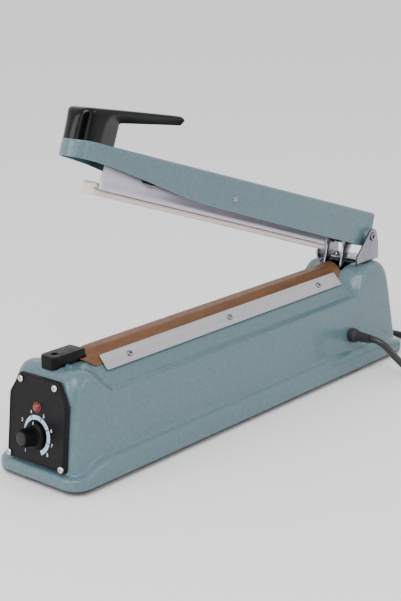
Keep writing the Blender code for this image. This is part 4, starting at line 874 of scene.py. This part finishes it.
def build_scale():
    """The dial's printed scale: five arc segments and the numbers."""
    z0 = 3.72
    segments = ((-82, -24), (-21, 18), (21, 60), (63, 102), (105, 154))
    for number, (a, b) in enumerate(segments):
        work = bmesh.new()
        steps = 12
        rows = []
        for k in range(steps + 1):
            t = math.radians(a + (b - a) * k / steps)
            wide = 1.0 if number else 0.35 + 0.65 * k / steps
            inner, outer = 11.8, (11.8 + 3.4 * wide)
            c, s = math.cos(t), -math.sin(t)
            rows.append([(KNOB_UP + r * c, r * s, z) for r, z in
                         ((inner, z0), (outer, z0), (outer, z0 + 0.06), (inner, z0 + 0.06))])
        grid(work, rows, closed=True, caps=True)
        piece(f"scale_segment_{number + 1}", work, PRINT_BLUE, FACE, "base", ())
    for number, angle in enumerate((-142, -102, -61, -20, 25, 66, 103, 133), 1):
        t = math.radians(angle)
        text = bpy.data.curves.new(f"dial_{number}", 'FONT')
        text.body = str(number)
        text.size = 3.8 * MM
        text.extrude = 0.03 * MM
        text.align_x = 'CENTER'
        text.align_y = 'CENTER'
        r = 17.7
        place = FACE @ shift(KNOB_UP + r * math.cos(t), -r * math.sin(t), z0 + 0.035) \
            @ Matrix.Rotation(-math.pi / 2, 4, 'Z')
        shape = linked(f"dial_{number}", text)
        bpy.context.view_layer.update()
        data = bpy.data.meshes.new_from_object(shape.evaluated_get(bpy.context.evaluated_depsgraph_get()))
        bpy.data.objects.remove(shape, do_unlink=True)
        data.materials.clear()
        data.materials.append(PRINT_WHITE)
        attach(linked(f"dial_number_{number}", data, place), "base", ())


def build_lamp():
    work = bmesh.new()
    profile = [(0, -6), (3.7, -6), (3.7, 3.4), (4.05, 3.4), (4.1, 3.9), (3.85, 4.3), (3.5, 4.3), (3.3, 4.9),
               (2.6, 5.7), (1.5, 6.2), (0, 6.35)]
    lathe(work, profile, 40, (LAMP_UP, 0, 0))
    piece("indicator_lens", work, LAMP, FACE, "base", ("indicator_lamp",))


def build_knob():
    """Skirt with a pointer nib, fluted grip, flat cap and a printed pointer line."""
    place = FACE @ shift(KNOB_UP, 0, 4.5)
    work = bmesh.new()

    def flutes(t, z):
        return 1 - (0.035 * (0.5 + 0.5 * math.cos(20 * t)) if 4.2 < z < 13.9 else 0)

    profile = [(0, -4.2), (3.0, -4.2), (3.0, 0.0), (9.9, 0.0), (10.2, 0.3), (10.2, 1.7), (9.9, 2.2), (9.3, 2.5),
               (8.4, 2.7), (7.9, 3.1), (7.65, 3.8), (7.5, 4.4), (7.35, 6.0), (7.0, 8.8), (6.7, 11.6), (6.5, 13.6),
               (6.35, 14.2), (6.0, 14.55), (5.6, 14.6), (5.4, 14.45), (5.2, 14.3), (0, 14.3)]
    lathe(work, profile, 120, wobble=flutes)
    knob = piece("timer_knob_body", work, KNOB_BLACK, place, None, sharp=30)
    nib = bmesh.new()
    rows = []
    for z, d in ((0.1, 0.0), (2.0, 0.0), (2.5, 0.5)):
        rows.append([((8.0 + d), (-3.0 + d), z), ((11.8 - d), (-0.35 + d * 0.3), z),
                     ((11.8 - d), (0.35 - d * 0.3), z), ((8.0 + d), (3.0 - d), z)])
    grid(nib, rows, closed=True, caps=True)
    cut(knob, nib, place, 'UNION')
    creased(knob, 30)
    attach(knob, "timer_knob", ("timer_knob",))
    cap = bmesh.new()
    lathe(cap, [(0, 14.25), (5.15, 14.25), (5.15, 14.42), (5.0, 14.5),
                (0, 14.5)], 60)
    piece("timer_knob_cap", cap, KNOB_CAP, place, "timer_knob", ())
    line = bmesh.new()
    boxed(line, (7.9, -0.35, 2.52), (10.9, 0.35, 2.62), 0.03, 1)
    piece("timer_knob_pointer", line, PRINT_WHITE, place, "timer_knob", ())


# ---- hinge
def build_bracket():
    """The folded bracket: base web with bent-up ears, bend radii and rounded corners."""
    low = REAR_TOP_Z + GAP
    inner, t = 21.8, 1.6
    outer = inner + t
    high = HINGE_Z + 8
    bend = 2.2
    section = [(-outer, high)] + arc(-outer + bend, low + bend, bend, 180, 270, 8)
    section += arc(outer - bend, low + bend, bend, 270, 360, 8) + [(outer, high), (inner, high)]
    section += arc(inner - bend + t, low + bend, bend - t, 360, 270, 6)
    section += arc(-inner + bend - t, low + bend, bend - t, 270, 180, 6) + [(-inner, high)]
    work = bmesh.new()
    grid(work, [[(x, y, z) for y, z in section] for x in (160, 206)], closed=True, caps=True)
    bracket = piece("hinge_bracket_sheet", work, NICKEL, BASE, None, sharp=30)
    ear = [(166.2, 91.0), (166.2, 99.6), (185.6, 118.4)]
    ear += arc(HINGE_X, HINGE_Z, 7.0, 0, 132, 12)[::-1]
    ear += [(200.5, 108.0), (200.5, 88.0), (166.2, 88.0)]
    keep = bmesh.new()
    grid(keep, [[(x, y, z) for x, z in ear] for y in (-40, 40)], closed=True, caps=True)
    cut(bracket, keep, BASE, 'INTERSECT')
    front = bmesh.new()
    boxed(front, (150, -inner + 0.8, low - 4), (180, inner - 0.8, low + 9), 1.2, 3)
    cut(bracket, front, BASE)
    bore(bracket, BASE @ shift(HINGE_X, 0, HINGE_Z) @ across(), 2.62, -40, 40, 40)
    edged(bracket, 0.22)
    apply_all(bracket, 35)
    attach(bracket, "base", ("hinge_bracket",))
    head = phillips(4.0, 2.3)
    for word, side in (("near", -1), ("far", 1)):
        place = BASE @ shift(HINGE_X - 2, side * 15, low + t + 0.05)
        put_screw(head, f"bracket_screw_{word}", place, 18 + 30 * side)


def build_hinge_pin():
    place = BASE @ shift(HINGE_X, 0, HINGE_Z) @ across()
    reach = 23.7
    profile = [(0, reach - 3.0), (1.5, reach - 3.0), (1.6, reach - 0.2), (1.9, reach + 0.5), (2.4, reach + 0.85),
               (3.4, reach + 0.9), (3.85, reach + 0.7), (4.0, reach + 0.3), (4.0, reach), (2.45, reach),
               (2.45, -reach - 2.0), (0, -reach - 2.0)]
    work = bmesh.new()
    lathe(work, profile, 48)
    piece("hinge_pin_rivet", work, NICKEL, place, "base", ("hinge_pin",))


# ---- arm
ARM_BOTTOM = [(-4.9, -10.3), (60, -10.6), (182, -9.9), (235, -9.4), (262, -8.2), (291, -4.9), (321, -2.1),
              (345, 0.4), (364, 1.4), (384, 1.6)]
ARM_HALF, NOSE_R, ARM_REACH, ARM_REAR = 17.6, 16.0, 384.0, 4.9
PIVOT = (-204.9, 0, 1.1)


def arm_top(r):
    return 22.0 - 0.0182 * r


def arm_half(r):
    centre = ARM_REACH - NOSE_R
    if r <= centre:
        return ARM_HALF - (ARM_HALF - NOSE_R) * ease(r, centre - 60, centre)
    return math.sqrt(max(0.0, NOSE_R ** 2 - (r - centre) ** 2))


def arm_section(r):
    """Half section of the arm's outer skin, in mm: (y, h) from the lower edge to the middle of the top."""
    half, top, low = arm_half(r), arm_top(r), table(ARM_BOTTOM, r)
    c = min(3.2 - 1.8 * ease(r, 340, 370), half * 0.6)
    lean = 0.25
    points = [(half, low), (half, low + 1.2)]
    points += [(half - lean * k / 4, low + (top - c - low) * (0.1 + 0.9 * k / 4)) for k in range(1, 5)]
    points += [(half - lean - c + c * math.cos(math.radians(a)), top - c + c * math.sin(math.radians(a)))
               for a in (15, 30, 45, 60, 75, 90)]
    wide = half - lean - c
    return points + [(wide * k, top) for k in (0.66, 0.33, 0.0)]


def build_arm():
    """The cast arm: inverted channel with a round nose and bosses at the hinge."""
    centre = ARM_REACH - NOSE_R
    stations = [-ARM_REAR, -4.3, -2.5, 2, 8] + [20 + 12 * k for k in range(29)] + [centre - 4, centre]
    stations += [centre + NOSE_R * math.sin(math.radians(a)) for a in (8, 16, 24, 32, 40, 48, 56, 63, 70, 76, 81, 85)]
    work = bmesh.new()
    rows = []
    for r in stations:
        droop = 0.0
        if r > centre:
            droop = 1.0 * (1 - math.sqrt(max(0.0, 1 - ((r - centre) / NOSE_R) ** 2)))
        rows.append([(-r, -y, (h - (droop if h > 8 else 0))) for y, h in arm_section(r)])
    made = grid(work, rows)
    for row in (made[0], made[-1]):
        foot = work.verts.new((row[0].co.x, 0, row[0].co.z))
        work.faces.new([foot] + row if row is made[0] else row + [foot])
    bmesh.ops.mirror(work, geom=work.verts[:] + work.edges[:] + work.faces[:], axis='Y', merge_dist=0.03)
    bmesh.ops.remove_doubles(work, verts=work.verts, dist=0.03)
    for f in [f for f in work.faces if all(abs(v.co.y) < 1e-3 for v in f.verts)]:
        work.faces.remove(f)
    arm = piece("press_arm_casting", work, ENAMEL, ARM, None, sharp=0)
    walled(arm, 1.5, even=True)
    edged(arm, 0.35, 60)
    apply_all(arm)
    for side in (-1, 1):
        boss = bmesh.new()
        lathe(boss, [(0, 16.6), (8.0, 16.6), (7.9, 18.2), (7.6, 19.0),
                     (7.6, 20.6), (7.3, 21.1), (6.9, 21.3), (0, 21.3)], 48)
        cut(arm, boss, ARM @ across(-side), 'UNION')
    bore(arm, ARM @ across(), 2.65, -40, 40, 40)
    creased(arm, 40)
    settle(arm)
    attach(arm, "arm", ("press_arm",))
    pivot = ARM @ shift(*PIVOT)
    for side, word in ((-1, "near"), (1, "far")):
        head = bmesh.new()
        lathe(head, [(0, 17.4), (2.9, 17.4), (2.9, 17.9), (2.6, 18.3),
                     (1.8, 18.4), (1.3, 18.1), (0, 18.0)], 32)
        names = ("bar_pivot_pin",) if side < 0 else ()
        piece(f"bar_pivot_head_{word}", head, NICKEL, pivot @ across(-side), "arm", names)
    rod = bmesh.new()
    lathe(rod, [(0, -17.4), (2.0, -17.4), (2.0, 17.4), (0, 17.4)], 32)
    piece("bar_pivot_rod", rod, NICKEL, pivot @ across(), "arm", ())


# ---- handle
HANDLE = [      # outer r, h; facet line r, h; inner r, h; half width; corner radius; inner half width
    (384.2, 14.5, 364.5, 14.5, 343.2, 14.5, 13.6, 13.3, 7.0),
    (384.1, 20.0, 364.5, 20.0, 342.9, 20.0, 13.6, 13.3, 7.0),
    (383.9, 25.0, 364.2, 25.0, 342.6, 25.0, 13.6, 13.0, 7.0),
    (383.6, 30.0, 363.2, 30.0, 342.4, 29.8, 13.6, 12.4, 7.0),
    (383.0, 34.4, 361.0, 34.2, 342.2, 32.6, 13.5, 10.6, 6.9),
    (381.0, 37.4, 357.6, 37.4, 341.6, 33.9, 13.2, 7.4, 6.8),
    (376.8, 39.0, 352.0, 39.6, 339.6, 34.5, 12.9, 5.2, 6.7),
    (368.4, 40.2, 345.0, 41.0, 334.0, 35.5, 12.5, 4.0, 6.6),
    (357.0, 41.9, 336.5, 42.3, 325.0, 37.2, 12.1, 3.4, 6.5),
    (342.0, 44.1, 325.5, 43.9, 314.0, 39.2, 11.6, 3.0, 6.4),
    (323.0, 46.9, 310.5, 46.1, 301.0, 41.6, 11.0, 2.7, 6.3),
    (304.0, 49.6, 295.5, 48.3, 289.5, 43.7, 10.6, 2.4, 6.2),
    (290.5, 51.5, 284.5, 50.0, 281.0, 45.2, 10.3, 2.2, 6.1),
    (281.0, 52.8, 278.0, 50.8, 276.0, 46.1, 10.1, 2.0, 6.0),
    (276.6, 52.9, 275.4, 51.0, 274.0, 46.5, 9.8, 1.8, 5.8),
    (274.6, 51.8, 274.2, 50.1, 273.2, 46.9, 9.2, 1.6, 5.4)]


def build_handle():
    """The moulded handle: round post that sweeps into a flat lever, with one long facet behind a sharp line."""
    work = bmesh.new()
    rows = []
    for ro, ho, rl, hl, ri, hi, half, corner, inner in HANDLE:
        outer, line, back = Vector((ro, ho)), Vector((rl, hl)), Vector((ri, hi))
        ahead = (back - outer).normalized()
        flat = half - corner
        side = [(outer, 0.0), (outer, flat * 0.5)]
        for a in (0, 15, 30, 45, 60, 75, 90):
            t = math.radians(a)
            depth = corner * (1 - math.cos(t))
            side.append((outer + ahead * min(depth, (line - outer).length * 0.86), flat + corner * math.sin(t)))
        start = side[-1][0]
        side.append((start.lerp(line, 0.5), half))
        side.append((line, half))
        side.append((line.lerp(back, 0.5), half + (inner - half) * 0.5))
        side.append((back, inner))
        side.append((back, inner * 0.5))
        side.append((back, 0.0))
        near = [(-p.x, -w, p.y) for p, w in side]
        far = [(x, -y, z) for x, y, z in near[1:-1]][::-1]
        rows.append(near + far)
    made = grid(work, rows, closed=True, caps=True)
    crease = work.edges.layers.float.new("crease_edge")
    line_at = 10
    count = len(rows[0])
    for one, other in zip(made, made[1:]):
        for i, weight in ((line_at, 0.9), (line_at + 2, 0.7), (count - line_at, 0.9), (count - line_at - 2, 0.7)):
            work.edges.get((one[i], other[i]))[crease] = weight
    for i in range(count):
        work.edges.get((made[0][i], made[0][(i + 1) % count]))[crease] = 1.0
        work.edges.get((made[-1][i], made[-1][(i + 1) % count]))[crease] = 0.5
    handle = piece("handle_moulding", work, HANDLE_BLACK, ARM, None, sharp=0)
    subdivided(handle)
    apply_all(handle, 32)
    settle(handle)
    attach(handle, "arm", ("handle",))


# ---- fork, bar
def build_fork():
    """The folded fork: two flat legs and the bridge under the arm's skin."""
    bridge = arm_top(24) - 1.5 - 0.3 - 2.2
    leg = [(12.0, bridge), (12.0, -12), (14.5, -20), (16.5, -32), (17.0, -47), (22.0, -47), (23.2, -40),
           (23.9, -32), (23.6, -24), (24.4, -16), (27.0, -10), (30.5, -6), (31.0, bridge)]
    shape = rounded([(-r, h) for r, h in leg], [1.6] * len(leg), 3)
    for side, word in ((-1, "near"), (1, "far")):
        work = bmesh.new()
        rows = [[(x, side * 9.0 + d, z) for x, z in shape] for d in (-0.75, 0.75)]
        grid(work, rows, closed=True, caps=True)
        made = piece(f"return_fork_leg_{word}", work, NICKEL, ARM, None)
        edged(made, 0.25)
        apply_all(made, 35)
        attach(made, "arm", ("return_fork",) if side < 0 else ())
    work = bmesh.new()
    boxed(work, (-30.4, -9.0, (bridge - 1.8)), (-12.6, 9.0, (bridge - 0.3)), 0.3, 2)
    piece("return_fork_bridge", work, NICKEL, ARM, "arm", ())


BAR_TOP, BAR_WEB, BAR_BOTTOM, BAR_SIDE = 3.4, -12.6, -17.0, 8.0
BAR_R, SILICONE_R = (54.0, 352.5), (51.0, 355.0)      # ends along the arm
BAR_SETBACK = 22.0      # how much shorter the far side is
BAR_NOTCH = (284, 314)      # the hollow in the upper edge
BAR_NOTCH_DEEP = 8.6


def build_press_bar():
    """The pressed channel that carries the silicone: folded sides, bottom flanges, notched upper edge."""
    r0, r1 = BAR_R
    count = 74
    for side, word in ((-1, "near"), (1, "far")):
        end = r1 if side < 0 else r1 - BAR_SETBACK
        work = bmesh.new()
        rows = []
        for r in (r0 + (end - r0) * k / count for k in range(count + 1)):
            top = BAR_TOP
            if BAR_NOTCH[0] < r < BAR_NOTCH[1]:
                t = (r - BAR_NOTCH[0]) / (BAR_NOTCH[1] - BAR_NOTCH[0])
                top = BAR_TOP - BAR_NOTCH_DEEP * math.sin(math.pi * t) ** 0.5
            top = min(top, arm_top(r) - 4)
            heights = [BAR_BOTTOM, BAR_BOTTOM + 1.6, BAR_BOTTOM + 3.0, BAR_WEB, -8, -4, min(0.0, top - 0.5), top]
            row = []
            for h in heights:
                y = BAR_SIDE + (0.8 if h < BAR_WEB - 0.4 else 0)
                lean = (h - BAR_BOTTOM) * 0.12 * ease(r, end - 8, end)
                row.append(((lean - r), side * y, h))
            rows.append(row)
        grid(work, rows)
        plate = piece(f"press_bar_side_{word}", work, BAR_METAL, ARM, None, sharp=0)
        walled(plate, 1.0, 0)
        edged(plate, 0.2)
        apply_all(plate, 35)
        attach(plate, "press_bar", ("press_bar",) if side < 0 else ())
    work = bmesh.new()
    boxed(work, (-r1, -BAR_SIDE, BAR_WEB), (-r0, BAR_SIDE, (BAR_WEB + 1.0)), 0.2, 2)
    piece("press_bar_web", work, BAR_METAL, ARM, "press_bar", ())
    build_silicone()


def build_silicone():
    """The silicone strip: a T profile held by the bar's flanges, its lower face ribbed lengthways."""
    half, top, low = 6.4, BAR_WEB - 0.3, -21.3
    section = [(-half, top), (-half, top - 2.6), (-4.6, top - 2.9), (-4.6, top - 4.4), (-half, top - 4.7),
               (-half, low + 0.6), (-half + 0.6, low), (-2.4, low), (-2.1, low + 0.35), (-1.8, low),
               (1.8, low), (2.1, low + 0.35), (2.4, low), (half - 0.6, low), (half, low + 0.6), (half, top - 4.7),
               (4.6, top - 4.4), (4.6, top - 2.9), (half, top - 2.6), (half, top)]
    work = bmesh.new()
    rows = []
    for k in range(61):
        r = SILICONE_R[0] + (SILICONE_R[1] - SILICONE_R[0]) * k / 60
        wave = 0.10 * math.sin(k * 0.9) + 0.06 * math.sin(k * 2.3)
        rows.append([(-r, (y + (wave * 0.4 if abs(y) > 4 else 0)), h) for y, h in section])
    grid(work, rows, closed=True, caps=True)
    strip = piece("silicone_strip_profile", work, SILICONE, ARM, None, sharp=0)
    edged(strip, 0.25, 40)
    apply_all(strip, 35)
    attach(strip, "press_bar", ("silicone_strip",))


# ---- carried-over nodes
def dress_nodes():
    """Materials for the solids whose own shape is shown."""
    looks = {"bottom_plate": PLATE_DARK, "timer_board": BOARD, "timer_potentiometer": DARK_STEEL,
             "sealing_rail": ALUMINIUM, "heating_element": NICKEL, "element_terminal_front": BRASS,
             "element_terminal_rear": BRASS, "transformer_core": DARK_STEEL, "transformer_coil": COPPER,
             "microswitch_body": COVER_BLACK, "switch_bracket": SCREW_STEEL, "spring_anchor": SCREW_STEEL,
             "pin_retainer": DARK_STEEL, "fork_cross_pin": SCREW_STEEL, "return_spring": SCREW_STEEL,
             "pressure_spring": SCREW_STEEL, "switch_plunger": BUTTON_RED, "handle_screw": SCREW_STEEL}
    for number in range(1, 5):
        looks[f"foot_{number}"] = RUBBER
        looks[f"plate_screw_{number}"] = SCREW_STEEL
    for name, material in looks.items():
        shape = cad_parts[name].data
        shape.materials.clear()
        shape.materials.append(material)


# ---- stage
def build_world():
    """A white studio with two soft light banks at the front near corner and a dark gap between them."""
    world = bpy.data.worlds.new("studio")
    bpy.context.scene.world = world
    world.use_nodes = True
    tree = world.node_tree
    where = tree.nodes.new("ShaderNodeTexCoord")
    across = tree.nodes.new("ShaderNodeVectorMath")
    across.operation = 'DOT_PRODUCT'
    across.inputs[1].default_value = Vector((-0.75, -0.65, 0.12)).normalized()
    tree.links.new(where.outputs["Generated"], across.inputs[0])
    ramp = tree.nodes.new("ShaderNodeValToRGB")
    ramp.color_ramp.elements[0].position = 0.0
    ramp.color_ramp.elements[0].color = (0.46, 0.46, 0.465, 1)
    ramp.color_ramp.elements[1].position = 1.0
    ramp.color_ramp.elements[1].color = (0.02, 0.022, 0.025, 1)
    for place, level in ((0.45, 0.42), (0.70, 0.22), (0.78, 0.30), (0.81, 1.0), (0.885, 1.0), (0.93, 0.04)):
        step = ramp.color_ramp.elements.new(place)
        step.color = (level, level, level * 1.01, 1)
    tree.links.new(across.outputs["Value"], ramp.inputs["Fac"])
    ground = tree.nodes["Background"]
    tree.links.new(ramp.outputs["Color"], ground.inputs["Color"])
    ground.inputs["Strength"].default_value = 2.7


def build_stage():
    floor_data = bpy.data.meshes.new("floor")
    work = bmesh.new()
    bmesh.ops.create_grid(work, x_segments=1, y_segments=1, size=6)
    work.to_mesh(floor_data)
    work.free()
    floor = linked("floor", floor_data, shift(0, 0, -0.2))
    pale = bpy.data.materials.new("pale_floor")
    pale.use_nodes = True
    shader = pale.node_tree.nodes["Principled BSDF"]
    shader.inputs["Base Color"].default_value = (0.90, 0.90, 0.90, 1)
    shader.inputs["Roughness"].default_value = 0.6
    floor_data.materials.append(pale)
    build_world()

    def light(name, place, aim, size, power):
        data = bpy.data.lights.new(name, 'AREA')
        data.shape = 'RECTANGLE'
        data.size, data.size_y = size
        data.energy = power
        turn = (Vector(aim) - Vector(place)).to_track_quat('-Z', 'Y').to_matrix().to_4x4()
        linked(name, data, Matrix.Translation(place) @ turn)

    light("key", (-1.1, -0.5, 1.5), (0, 0, 0.1), (1.0, 0.8), 18)
    light("front", (-1.6, 0.5, 0.6), (-0.1, 0, 0.1), (0.7, 1.0), 10)
    light("side", (0.5, -1.8, 0.9), (0.05, 0, 0.08), (1.4, 0.6), 9)


build_camera()
build_cord()
build_casting()
build_strips()
build_cloth()
build_cover()
build_panel()
build_knob()
build_bracket()
build_hinge_pin()
build_arm()
build_handle()
build_fork()
build_press_bar()
dress_nodes()
build_stage()
